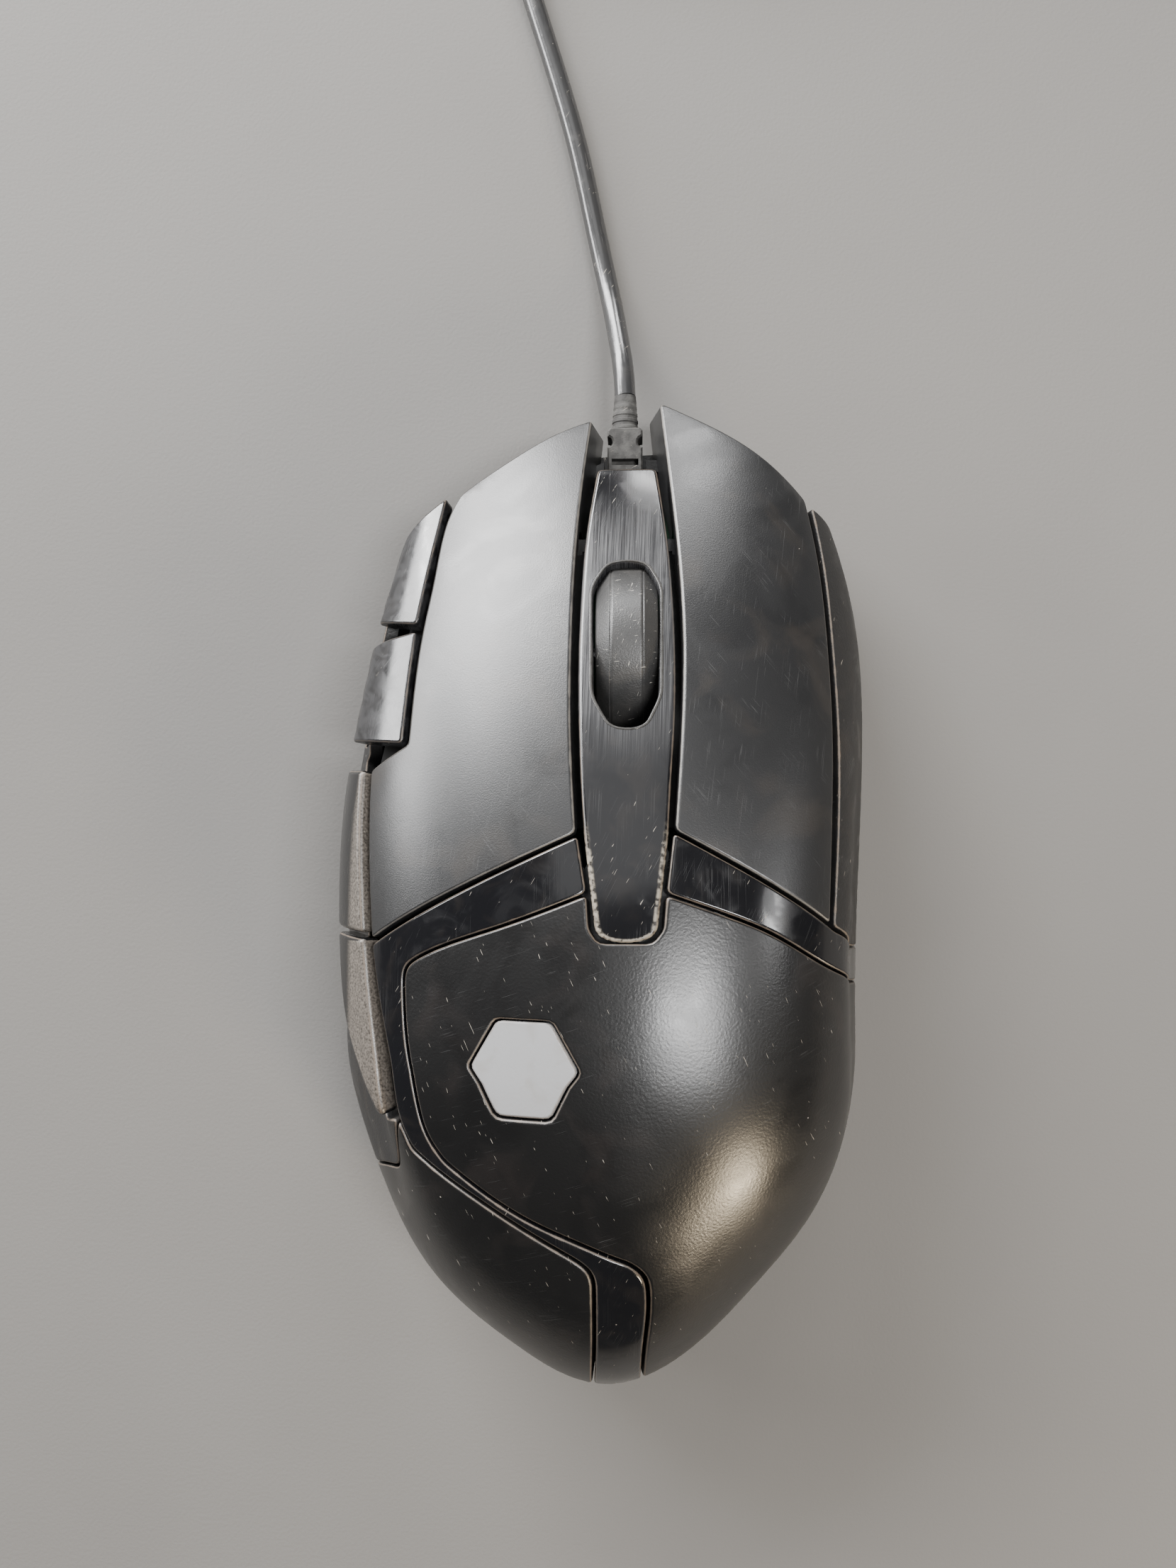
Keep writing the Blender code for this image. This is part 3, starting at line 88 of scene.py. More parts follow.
WALL = 1.8
BUTTON_WALL = 1.4
SPINE_WALL = 1.4
INDEX_WALL = 2.3
THUMB_WALL = 2.4
TIP_WALL = 2.7
SEAM = 0.26
BUTTON_SEAM = 0.5
SPINE_SEAM = 0.2
NOSE_ROUND = 0.7
NOSE_SLANT = 0.87  # a step across the slanting front edge, over the same step along y
# The strip between the buttons, and the lip of the wheel's slot in it, painted lighter as a highlight.
SKIRT_Z = 5.0
SKIRT_WALL = 1.7
CHANNEL_Y = 52.0  # the channel for the cable's block begins here and widens over its draft
CHANNEL_DRAFT = 1.3
CHANNEL_DRAFT_RUN = 10.0
# Painted shade: the dark sheets under the gaps lie this deep below the skin and are this thick.
SHADE_SHEET_DEPTH = 3.4
SHADE_SHEET_WALL = 0.7

# ---- The wheel and the thumb's buttons ------------------------------------------------------------

WHEEL_CENTRE = (-0.2, 34.6, 18.4)
WHEEL_RADIUS = 12.3
WHEEL_WIDTH = 8.0
TREAD_WIDTH = 4.2
TREAD_GROOVE = 0.22
TYRE_CHAMFER = 1.9
TYRE_SIDES = 128
HUB_RADIUS = 9.0
THUMB_ROW = (19.6, -1.9, -22.8)
THUMB_ROW_HEIGHT = ((-23.2, 0.02), (-18.0, 0.10), (-12.5, 0.15), (-7.0, 0.17), (20.5, 0.17))
INDEX_LOW_Q = 0.86
THUMB_TIP = (28.0, 0.99)
THUMB_TIP_HALF = (2.6, 5.0)  # down the side and along it

# ---- The cable ------------------------------------------------------------------------------------

CABLE_DIAMETER = 3.0
CABLE_SPACING = 3.0
CABLE_EXIT = (-0.6, 73.0, 7.5)
RUN_ROUTE = (
    (-0.8, 76.5, 7.1), (-1.4, 81.0, 5.6), (-2.3, 86.5, 3.4), (-3.6, 93.0, 1.9),
    (-5.1, 100.0, 1.55), (-7.5, 111.0, 1.55), (-10.6, 122.0, 1.55), (-14.4, 134.0, 1.55),
    (-17.6, 145.0, 1.55), (-19.8, 156.0, 1.65), (-20.6, 166.0, 2.2),
)
COIL_COLUMNS = 5
COIL_ROWS = 4
COIL_PITCH = 3.05
COIL_INNER_TURN = 11.5
COIL_CENTRE = (3.0, 180.0)
COIL_BOTTOM_Z = 0.9
COIL_TURN_POINTS = 28
COIL_MOVE = 0.22  # the share of a turn in which the cable moves over to the next column or row
RELIEF_REAR_Y = 61.8
RELIEF_FRONT_Y = 68.0
RELIEF_NOTCH_Y = 66.0
RELIEF_NOTCH = 0.75
RELIEF_HALF = 2.5  # half the block's width and half its height
SLEEVE_START_Y = 68.05
SLEEVE_RIBS = 5
TIE_HALF_WIDTH = 2.0
USB_PLACE = (39.0, 197.0, 4.0)
USB_BODY = (15.6, 22.0, 8.0)
USB_RIBS = 11

# ---- Outlines seen from above --------------------------------------------------------------------

LEFT_BUTTON_INNER = (
    (-4.6, 68.3), (-5.6, 59.4), (-6.6, 45.0), (-6.8, 34.8), (-6.7, 25.1), (-5.9, 11.8),
)
LEFT_BUTTON_FRONT = ((-23.2, 57.5), (-16.3, 62.3), (-9.5, 66.4), (-4.6, 68.3))
LEFT_BUTTON_OUTER = ((-28.8, 22.9), (-27.7, 37.6), (-26.5, 45.2), (-24.4, 55.3), (-23.2, 57.5))
LEFT_BUTTON_LOBE = ((-34.4, 19.4), (-34.1, 9.0), (-33.1, -2.6))
RIGHT_BUTTON_INNER = ((5.3, 12.2), (6.2, 25.1), (6.5, 34.7), (6.0, 47.5), (5.0, 58.6), (3.7, 71.2))
RIGHT_BUTTON_FRONT = ((3.7, 71.2), (8.7, 68.6), (13.8, 65.8), (19.0, 62.1), (24.3, 56.5))
RIGHT_BUTTON_OUTER = (
    (24.3, 56.5), (26.0, 44.6), (26.5, 35.3), (26.7, 24.2), (26.3, 13.5), (25.6, -0.3),
)
SPINE_LEFT = (
    (-5.5, 11.9), (-6.0, 18.5), (-6.3, 25.1), (-6.45, 34.8), (-6.25, 41.8), (-5.75, 50.3), (-4.4, 60.1),
)
SPINE_RIGHT = (
    (3.9, 60.1), (5.2, 50.3), (5.85, 41.8), (6.1, 34.8), (5.95, 25.1), (5.5, 18.5), (5.1, 11.9),
)
SPINE_TAB = ((3.8, 1.2), (3.4, 0.0), (2.6, -0.5), (-3.1, -0.5), (-3.8, 0.0), (-4.15, 1.2))
SLOT = (
    (1.9, 24.7), (3.9, 28.8), (4.0, 43.0), (2.1, 46.4),
    (-2.4, 46.4), (-4.6, 43.0), (-4.4, 28.8), (-2.0, 24.7),
)
PALM_FRONT_LEFT = ((-28.0, -6.8), (-27.6, -5.0), (-26.2, -3.8), (-15.8, 0.5), (-4.7, 4.8))
PALM_FRONT_RIGHT = ((4.4, 4.8), (9.8, 2.9), (16.9, 0.0), (24.4, -4.7))
PALM_NOTCH = ((-4.7, 4.8), (-4.4, 0.6), (-3.3, -0.9), (2.8, -0.9), (4.05, 0.6), (4.4, 4.8))
STRIP_OUTER = (
    (-33.0, -2.9), (-31.5, -10.5), (-30.2, -15.9), (-29.5, -20.1), (-28.6, -24.6), (-27.0, -27.8),
)
STRIP_DIAGONAL_OUTER = ((-27.0, -27.8), (-23.2, -30.2), (-17.7, -33.2), (-10.8, -37.1), (-6.2, -39.6))
TAIL_LEFT = ((-6.2, -39.6), (-4.6, -41.0), (-4.1, -43.7), (-4.2, -51.4), (-4.6, -60.0))
STRIP_INNER = ((-28.0, -6.8), (-27.3, -15.0), (-26.0, -21.5), (-24.8, -25.5), (-22.5, -28.6))
STRIP_DIAGONAL_INNER = ((-22.5, -28.6), (-17.8, -31.6), (-10.6, -35.4), (-5.0, -37.6), (0.2, -39.7))
TAIL_RIGHT = ((0.2, -39.7), (2.0, -41.5), (2.5, -43.7), (2.2, -51.7), (1.9, -59.0))
TAIL_LEFT_ANGLE = -5.4
TAIL_RIGHT_ANGLE = 2.6
CREASE = ((-28.8, -24.0), (-29.5, -27.0), (-30.2, -31.0))
CREASE_ANGLE = -62.0
INDEX_FRONT_INNER = ((-27.9, 38.5), (-26.6, 46.0), (-24.5, 57.0))
INDEX_FRONT_TIP = ((-24.5, 57.0), (-27.7, 54.0), (-29.8, 51.4))
INDEX_REAR_INNER = ((-29.1, 22.7), (-28.6, 30.0), (-27.9, 37.9))
RIGHT_PANEL_TOP = (
    (25.0, 55.6), (26.3, 45.5), (26.8, 35.3), (27.1, 24.2), (26.8, 13.5), (25.8, -0.3),
)
EMBLEM_CENTRE = (-12.4, -16.1)
EMBLEM_RADIUS = 6.6

# ---- The camera, in metres in the frame ----------------------------------------------------------

CAMERA_PLACE = (0.0047, 0.0175, 0.178)
CAMERA_FORWARD = (-0.0402, -0.0157, -1)
CAMERA_LENS = 27.05  # millimetres, over a sensor of CAMERA_SENSOR
CAMERA_SENSOR = 36

# ---- How finely the looks are built --------------------------------------------------------------

FINE = 1.3  # spacing of a panel's points
EDGE_FINE = 0.5  # spacing along a panel's edge
RIM = 0.35  # radius of a panel's rounded edge
RIM_STEPS = 4
WEAR_REACH = 6.0  # edge distances above this are all alike
CORNER = 0.5  # how far to each side a panel's corners are rounded
SHARP = math.radians(30)  # edges sharper than this stay sharp in shading


def to_frame(points):
    """Body places in millimetres as frame places in metres."""
    return (np.asarray(points, float) + (WHEEL_PLANE_X, BODY_SHIFT_Y, 0)) / 1000


# ---- Curves ---------------------------------------------------------------------------------------


def curve(points, at, flat_start=False, flat_end=False):
    """The smooth curve y(x) through the points; a flat end has no slope there."""
    xs, ys = np.array(points, float).T
    steps = np.diff(xs)
    count = len(xs)
    system = np.zeros((count, count))
    target = np.zeros(count)
    system[0, 0] = system[-1, -1] = 1
    for i in range(1, count - 1):
        system[i, i - 1 : i + 2] = steps[i - 1], 2 * (steps[i - 1] + steps[i]), steps[i]
        target[i] = 6 * ((ys[i + 1] - ys[i]) / steps[i] - (ys[i] - ys[i - 1]) / steps[i - 1])
    if flat_start:
        system[0, :2] = 2 * steps[0], steps[0]
        target[0] = 6 * (ys[1] - ys[0]) / steps[0]
    if flat_end:
        system[-1, -2:] = steps[-1], 2 * steps[-1]
        target[-1] = -6 * (ys[-1] - ys[-2]) / steps[-1]
    bend = np.linalg.solve(system, target)
    at = np.clip(at, xs[0], xs[-1])
    i = np.clip(np.searchsorted(xs, at) - 1, 0, count - 2)
    t = at - xs[i]
    slope = (ys[i + 1] - ys[i]) / steps[i] - steps[i] * (2 * bend[i] + bend[i + 1]) / 6
    return ys[i] + slope * t + bend[i] / 2 * t**2 + (bend[i + 1] - bend[i]) / (6 * steps[i]) * t**3


def smooth_path(points, spacing):
    """Points about one spacing apart on the smooth curve through the given ones."""
    points = np.array(points, float)
    lengths = np.linalg.norm(np.diff(points, axis=0), axis=1)
    along = np.concatenate([[0], np.cumsum(lengths)])
    count = max(len(points) - 1, round(along[-1] / spacing))
    at = np.linspace(0, along[-1], count + 1)
    if len(points) == 2:
        return points[0] + (points[1] - points[0]) * (at / along[-1])[:, None]
    return np.stack([curve(np.stack([along, axis], 1), at) for axis in points.T], 1)


def closed_outline(*runs):
    """One closed outline, running anticlockwise, made of smooth runs that meet at corners."""
    outline = np.concatenate([smooth_path(run, EDGE_FINE)[:-1] for run in runs])
    return outline if area(outline) > 0 else outline[::-1]


def polygon(corners):
    """A closed outline with straight sides."""
    return closed_outline(*zip(corners, np.roll(corners, -1, 0)))


def softened(outline, reach=CORNER):
    """The outline with its corners rounded over a reach to each side."""
    ends = np.roll(outline, -1, 0)
    lengths = np.linalg.norm(ends - outline, axis=1)
    along = np.concatenate([[0], np.cumsum(lengths)])
    closed = np.concatenate([outline, outline[:1]])
    count = round(along[-1] / EDGE_FINE)
    at = np.arange(count) * along[-1] / count
    total = np.zeros((count, 2))
    offsets = np.linspace(-reach, reach, 9)
    for offset in offsets:
        there = (at + offset) % along[-1]
        total += np.stack([np.interp(there, along, closed[:, axis]) for axis in (0, 1)], 1)
    return total / len(offsets)


def cross(a, b):
    """The cross product of vectors in a plane."""
    return a[..., 0] * b[..., 1] - a[..., 1] * b[..., 0]


def area(outline):
    """The area in a closed outline, above 0 when it runs anticlockwise."""
    return cross(outline, np.roll(outline, -1, 0)).sum() / 2


def inward(outline):
    """At each point of an anticlockwise outline, the step that moves both its sides in by one."""
    before = outline - np.roll(outline, 1, 0)
    after = np.roll(outline, -1, 0) - outline
    normals = []
    for side in (before, after):
        side = side / np.linalg.norm(side, axis=1)[:, None]
        normals.append(np.stack([-side[:, 1], side[:, 0]], 1))
    middle = normals[0] + normals[1]
    return middle / np.clip((middle**2).sum(1) / 2, 0.35, None)[:, None]


def inside(points, outline):
    """Which points lie inside a closed outline."""
    x, y = points[:, 0, None], points[:, 1, None]
    ends = np.roll(outline, -1, 0)
    x0, y0, x1, y1 = outline[:, 0], outline[:, 1], ends[:, 0], ends[:, 1]
    straddles = (y0 > y) != (y1 > y)
    rise = np.where(y1 == y0, 1, y1 - y0)
    return (straddles & (x < x0 + (y - y0) * (x1 - x0) / rise)).sum(1) % 2 == 1


def distance_to(points, outline):
    """How far points lie from a closed outline."""
    start, span = outline, np.roll(outline, -1, 0) - outline
    away = points[:, None] - start[None]
    share = np.clip((away * span).sum(2) / np.maximum((span**2).sum(1), 1e-12), 0, 1)
    return np.linalg.norm(away - share[..., None] * span, axis=2).min(1)


def inset(outline, distance):
    """The outline moved inwards; the points that a tight corner would swallow close up in line."""
    moved = outline + inward(outline) * distance
    kept = distance_to(moved, outline) >= abs(distance) * 0.99 - 1e-4
    at = np.arange(len(outline))
    period = len(at)
    return np.stack([np.interp(at, at[kept], moved[kept, axis], period=period) for axis in (0, 1)], 1)


def ease(value):
    """0 below 0, 1 above 1, smooth between."""
    value = np.clip(value, 0, 1)
    return value * value * (3 - 2 * value)


# ---- The body's surface ---------------------------------------------------------------------------
# The same surface and flat map as in the CAD: a map point lies q times the width from the spine.


def spine_frame(points):
    """For map points: y of the section's centre, the section's direction and the distance out."""
    points = np.asarray(points, float)
    centre = np.maximum(points[..., 1], FAN_Y)
    out = np.stack([points[..., 0], points[..., 1] - centre], -1)
    distance = np.linalg.norm(out, axis=-1)
    return centre, out / np.maximum(distance, 1e-9)[..., None], distance


def half_width(centre, direction):
    """How far the body reaches in a direction from the spine, at its widest height."""
    left = curve(LEFT_WIDTH, centre, flat_start=True)
    right = curve(RIGHT_WIDTH, centre, flat_start=True)
    angle = np.degrees(np.arctan2(direction[..., 0], -direction[..., 1]))
    rear = curve(REAR_WIDTH, angle, True, True)
    side = np.where(direction[..., 0] < 0, left, right)
    return np.where(direction[..., 1] < -1e-9, rear, side)


def crown_height(y):
    """The height of the spine, level over the palm and falling to the nose."""
    return CROWN_Z - NOSE_FALL * (np.clip(y - FAN_Y, 0, None) / NOSE_RUN) ** NOSE_POWER


def hump(value, start, peak, end):
    """0 outside start and end, 1 at the peak, smooth between."""
    return ease(np.minimum((value - start) / (peak - start), (end - value) / (end - peak)))


def hollow(centre, direction, q):
    """How far the finger hollows draw the sides in."""
    y = centre + FAN_DEPTH * direction[..., 1]
    shoulder = curve(SHOULDER_Q, y)
    thumb = THUMB_HOLLOW * hump(y, *THUMB_HOLLOW_Y) * hump(q, shoulder, shoulder + 0.2, 1.02)
    finger = FINGER_HOLLOW * hump(y, *FINGER_HOLLOW_Y) * hump(q, *FINGER_HOLLOW_Q)
    return np.where(direction[..., 0] < 0, thumb, finger)


def surface(points, hollowed=True):
    """Map points to places on the outer surface."""
    centre, direction, distance = spine_frame(points)
    width = half_width(centre, direction)
    q = distance / width
    angle = np.clip(q, 0, 1) * np.pi / 2
    under = np.clip((q - 1) / (LOWEST_Q - 1), 0, 1)
    reach = width * np.sin(angle) - UNDERCUT * under**2
    if hollowed:
        reach = reach - hollow(centre, direction, q)
    z = WIDEST_Z + (crown_height(centre) - WIDEST_Z) * np.cos(angle) ** SECTION_FULLNESS
    z = z - (WIDEST_Z - LOWEST_Z) * under
    return np.stack([direction[..., 0] * reach, centre + direction[..., 1] * reach, z], -1)


def normals(points, shape):
    """Outward normals of a shape, which turns map points into places.

    A raised shape has the normals of the plain one under it.
    """
    shape = getattr(shape, "plain", shape)
    step = 0.03
    right = shape(points + (step, 0)) - shape(points - (step, 0))
    ahead = shape(points + (0, step)) - shape(points - (0, step))
    found = np.cross(right, ahead)
    return found / np.linalg.norm(found, axis=-1)[..., None]


def proud(height, hollowed=True):
    """A shape that stands out of the body's surface by a height."""

    def plain(points):
        return surface(points, hollowed)

    def raised(points):
        return plain(points) + normals(points, plain) * height

    raised.plain = plain
    return raised


def swollen(base, height):
    """A shape that swells out of the plain surface, most of all towards the body's side."""

    def plain(points):
        return surface(points, False)

    def raised(points):
        centre, direction, distance = spine_frame(points)
        q = distance / half_width(centre, direction)
        rise = base + height * hump(q, 0.50, 0.78, 0.92)
        return plain(points) + normals(points, plain) * rise[..., None]

    return raised


def on_map(*plan):
    """Map points under places seen from above."""
    plan = np.array(plan, float)
    centre, direction, distance = spine_frame(plan)
    width = half_width(centre, direction)
    q = np.arcsin(np.clip(distance / width, 0, 1)) * 2 / np.pi
    return np.stack([direction[:, 0] * q * width, centre + direction[:, 1] * q * width], 1)


def on_side(side, y, q):
    """Map point on the left (-1) or right (+1) side of a section in front of the fan."""
    return (side * q * float(half_width(np.array(y), np.array((side, 0.0)))), y)


def on_rear(angle, q):
    """Map point in the fan; the angle is in degrees from straight back, plus to the right."""
    direction = np.array((math.sin(math.radians(angle)), -math.cos(math.radians(angle))))
    reach = q * float(half_width(np.array(FAN_Y), direction))
    return (direction[0] * reach, FAN_Y + direction[1] * reach)


def rear_arc(start, end, q, step=3.0):
    """Map points along the fan between two angles."""
    count = max(2, math.ceil(abs(end - start) / step))
    return [on_rear(start + (end - start) * i / count, q) for i in range(count + 1)]


def ridge(y, extra=0.0):
    """Map point on the ridge over the thumb."""
    return on_side(-1, y, float(curve(SHOULDER_Q, y)) + extra)


def row_height(y):
    """How far down from the ridge the thumb buttons reach, as a share of the width."""
    return float(curve(THUMB_ROW_HEIGHT, y))


# ---- Pieces ---------------------------------------------------------------------------------------


def add_object(name, data, slot, *nodes, body="root", look=None):
    """Puts a piece in the scene and hides the nodes it stands for. look overrides its slot's material."""
    piece = bpy.data.objects.new(name, data)
    bpy.context.scene.collection.objects.link(piece)
    data.materials.append(look or LOOKS[slot])
    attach(piece, body)
    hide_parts(*nodes)
    return piece


class PanelMesh:
    """Collects a panel's points, faces and corner normals."""

    def __init__(self):
        self.places, self.nearness, self.faces, self.corner_normals = [], [], [], []

    def points(self, places, edge):
        """Adds points with their distance from the panel's edge, and returns their numbers."""
        first = len(self.places)
        self.places.extend(places)
        self.nearness.extend(np.broadcast_to(WEAR_REACH - edge, len(places)))
        return np.arange(first, len(self.places))

    def face(self, numbers, facing):
        """Adds a face with a normal at each of its corners."""
        self.faces.append([int(n) for n in numbers])
        self.corner_normals.extend(facing)

    def band(self, lower, upper, lower_facing, upper_facing):
        """Faces between two rings of equal length; upper lies further in or further up."""
        count = len(lower)
        for i in range(count):
            j = (i + 1) % count
            self.face(
                (lower[i], lower[j], upper[j], upper[i]),
                (lower_facing[i], lower_facing[j], upper_facing[j], upper_facing[i]),
            )

    def data(self, name):
        """The object data, which carries how near the edge each point is."""
        mesh = bpy.data.meshes.new(name)
        mesh.from_pydata(to_frame(self.places).tolist(), [], self.faces)
        nearness = mesh.attributes.new("nearness", "FLOAT", "POINT")
        nearness.data.foreach_set("value", np.array(self.nearness, np.float32))
        mesh.shade_smooth()
        mesh.normals_split_custom_set([tuple(n) for n in self.corner_normals])
        mesh.validate()
        return mesh


def filled(loops, spacing):
    """Triangulates the region inside the first loop and outside the others."""
    low, high = loops[0].min(0), loops[0].max(0)
    grid = np.stack(np.meshgrid(*[np.arange(a, b, spacing) for a, b in zip(low, high)]), -1)
    grid[1::2, :, 0] += spacing / 2
    grid = grid.reshape(-1, 2)
    keep = inside(grid, loops[0])
    for hole in loops[1:]:
        keep &= ~inside(grid, hole)
    grid = grid[keep]
    for loop in loops:
        grid = grid[distance_to(grid, loop) > spacing * 0.55]
    edges = []
    for loop in loops:
        start, count = len(edges), len(loop)
        edges += [(start + i, start + (i + 1) % count) for i in range(count)]
    points = np.concatenate([*loops, grid])
    verts, _, faces, *_ = delaunay_2d_cdt([Vector(p) for p in points], edges, [], 0, 1e-6)
    flat = np.array([tuple(v) for v in verts])
    if len(flat) != len(points):
        raise ValueError("an outline crosses itself")
    faces = np.array([tuple(face) for face in faces])
    centres = flat[faces].mean(1)
    chosen = inside(centres, loops[0])
    for hole in loops[1:]:
        chosen &= ~inside(centres, hole)
    faces = faces[chosen]
    turned = cross(flat[faces[:, 1]] - flat[faces[:, 0]], flat[faces[:, 2]] - flat[faces[:, 0]]) < 0
    faces[turned] = faces[turned][:, ::-1]
    return flat, faces


def add_edge(build, loop, sign, shape, under, rim):
    """Adds a panel's wall and rounded edge along one loop, and returns its top and bottom rings."""
    step = inward(loop) * sign
    square = normals(loop, shape)
    out = shape(loop - step * 0.05) - shape(loop)
    out -= (out * square).sum(1)[:, None] * square
    out /= np.linalg.norm(out, axis=1)[:, None]
    rings = []
    for i in range(RIM_STEPS + 1):
        turn = math.radians(90 * i / RIM_STEPS)
        ring = inset(loop, sign * rim * (1 - math.cos(turn)))
        up = normals(ring, shape)
        places = shape(ring) - up * rim * (1 - math.sin(turn))
        numbers = build.points(places, rim * abs(turn - math.pi / 4))
        rings.append((numbers, up * math.sin(turn) + out * math.cos(turn)))
    bottom = build.points(under(loop), WEAR_REACH)
    rings.insert(0, (bottom, out))
    for (lower, low_facing), (upper, high_facing) in zip(rings, rings[1:]):
        build.band(lower[::sign], upper[::sign], low_facing[::sign], high_facing[::sign])
    return rings[-1][0], bottom


def panel_mesh(name, outline, shape, holes=(), under=None, wall=WALL, rim=RIM, spacing=FINE):
    """A closed panel over an outline on the map, with rounded edges and true normals.

    shape turns map points into places on the outer face, and under into places on the inner one.
    """
    build = PanelMesh()
    under = under or (lambda points: shape(points) - normals(points, shape) * wall)
    loops = [(outline, 1), *((hole, -1) for hole in holes)]
    seams = [(*add_edge(build, loop, sign, shape, under, rim), sign) for loop, sign in loops]
    flat, faces = filled([inset(loop, sign * rim) for loop, sign in loops], spacing)
    edge = np.min([distance_to(flat, loop) for loop, _ in loops], axis=0)
    edge = np.minimum(edge, WEAR_REACH)
    rim_points = np.concatenate([numbers for numbers, _, _ in seams])
    count = len(rim_points)
    top = np.concatenate([rim_points, build.points(shape(flat[count:]), edge[count:])])
    low = build.points(under(flat), edge)
    up = normals(flat, shape)
    for face in faces:
        build.face(top[face], up[face])
        build.face(low[face[::-1]], -up[face[::-1]])
    start = 0
    for numbers, bottom, sign in seams:
        inner = low[start : start + len(numbers)]
        down = -up[start : start + len(numbers)]
        build.band(inner[::sign], bottom[::sign], down[::sign], down[::sign])
        start += len(numbers)
    return build.data(name)


def panel(name, slot, runs, body="root", look=None, gap=SEAM / 2, shape=surface, **more):
    """A panel of the body's skin that stands for the CAD node, with half a seam left round it."""
    outline = softened(inset(closed_outline(*runs), gap))
    data = panel_mesh(name, outline, shape, **more)
    return add_object(name, data, slot, name, body=body, look=look)


# ---- Materials ------------------------------------------------------------------------------------


class Look:
    """A material built up in layers. Pattern sizes are in millimetres."""

    def __init__(self, name, colour, roughness, metallic=0.0, shine=0.5):
        self.material = bpy.data.materials.new(name)
        self.material.use_nodes = True
        self.tree = self.material.node_tree
        self.shader = self.tree.nodes["Principled BSDF"]
        self.shader.inputs["Metallic"].default_value = metallic
        self.shader.inputs["Specular IOR Level"].default_value = shine
        self.colour = (*colour, 1)
        self.roughness = roughness
        self.normal = None
        coordinates = self.node("ShaderNodeTexCoord")
        self.place = coordinates.outputs["Object"]
        self.facing = coordinates.outputs["Normal"]

    def node(self, kind, **inputs):
        """Adds a node; an input is a value or another node's output."""
        made = self.tree.nodes.new(kind)
        for name, value in inputs.items():
            self.feed(made.inputs[name.replace("_", " ")], value)
        return made

    def feed(self, socket, value):
        """Sets an input, or links it to another node's output."""
        if isinstance(value, bpy.types.NodeSocket):
            self.tree.links.new(value, socket)
        else:
            socket.default_value = value

    def stretched(self, stretch, turn):
        """The pattern space in millimetres, turned about z and drawn out along its axes."""
        turned = self.node("ShaderNodeMapping", Vector=self.place, Rotation=(0, 0, math.radians(turn)))
        scale = tuple(1000 / share for share in stretch)
        return self.node("ShaderNodeMapping", Vector=turned.outputs[0], Scale=scale).outputs[0]

    def noise(self, size, detail=2.0, stretch=(1, 1, 1), turn=0.0, warp=0.0):
        """A value from 0 to 1 that changes over about the size."""
        space = self.stretched(stretch, turn)
        made = self.node("ShaderNodeTexNoise", Vector=space, Scale=1 / size, Detail=detail, Distortion=warp)
        return made.outputs[0]

    def ramp(self, value, start, end, low=0.0, high=1.0):
        """low where the value is at start, high where it is at end, smooth between."""
        made = self.node("ShaderNodeMapRange", Value=value)
        made.interpolation_type = "SMOOTHSTEP"
        for name, number in (("From Min", start), ("From Max", end), ("To Min", low), ("To Max", high)):
            self.feed(made.inputs[name], number)
        return made.outputs[0]

    def math(self, operation, first, second):
        """The result of an operation on two values."""
        made = self.node("ShaderNodeMath")
        made.operation = operation
        self.feed(made.inputs[0], first)
        self.feed(made.inputs[1], second)
        return made.outputs[0]

    def blend(self, share, colour, roughness=None):
        """Lays a colour, and a roughness if one is given, over what is there."""
        made = self.node("ShaderNodeMix")
        made.data_type = "RGBA"
        self.feed(made.inputs[0], share)
        self.feed(made.inputs[6], self.colour)
        self.feed(made.inputs[7], (*colour, 1))
        self.colour = made.outputs[2]
        if roughness is not None:
            made = self.node("ShaderNodeMix")
            self.feed(made.inputs[0], share)
            self.feed(made.inputs[2], self.roughness)
            self.feed(made.inputs[3], roughness)
            self.roughness = made.outputs[0]

    def raise_by(self, height, millimetres):
        """Adds relief: the height is a value from 0 to 1."""
        made = self.node("ShaderNodeBump", Height=height, Strength=1.0, Distance=millimetres / 1000)
        if self.normal:
            self.feed(made.inputs["Normal"], self.normal)
        self.normal = made.outputs[0]

    def grain(self, size, height):
        """The fine relief that a mould leaves."""
        self.raise_by(self.noise(size, 1.0), height)

    def mottle(self, size, detail, start, end, amount, colour, roughness=None):
        """Uneven patches of a colour, from none where the noise is at start to the amount at end."""
        self.blend(self.ramp(self.noise(size, detail), start, end, 0.0, amount), colour, roughness)

    def smudges(self, size, amount, colour):
        """Patches of skin grease: a little smoother and a little browner."""
        patches = self.ramp(self.noise(size, 4.0, warp=1.2), 0.47, 0.66)
        self.roughness = self.math("SUBTRACT", self.roughness, self.math("MULTIPLY", patches, amount))
        haze = self.ramp(self.noise(size * 0.7, 5.0, warp=0.8, turn=35), 0.5, 0.72, 0.0, 0.5)
        self.blend(haze, colour)

    def scratches(self, turn, width, length, share, colour, roughness):
        """Fine straight scratches; the share is how much of the surface they cover."""
        lines = self.noise(1.0, 0.0, stretch=(width, length, length), turn=turn)
        marks = self.ramp(lines, 0.80 - share, 0.83 - share)
        patches = self.ramp(self.noise(length * 0.8, 1.0, turn=turn), 0.45, 0.6)
        self.blend(self.math("MULTIPLY", marks, patches), colour, roughness)

    def specks(self, size, share, colour):
        """Scattered dots of dust and skin flakes."""
        cells = self.node("ShaderNodeTexVoronoi", Vector=self.stretched((1, 1, 1), 12), Scale=1 / size)
        dots = self.ramp(cells.outputs["Distance"], 0.05, 0.09, 1.0, 0.0)
        chosen = self.math("GREATER_THAN", cells.outputs["Color"], 1 - share)
        self.blend(self.math("MULTIPLY", dots, chosen), colour, 0.8)

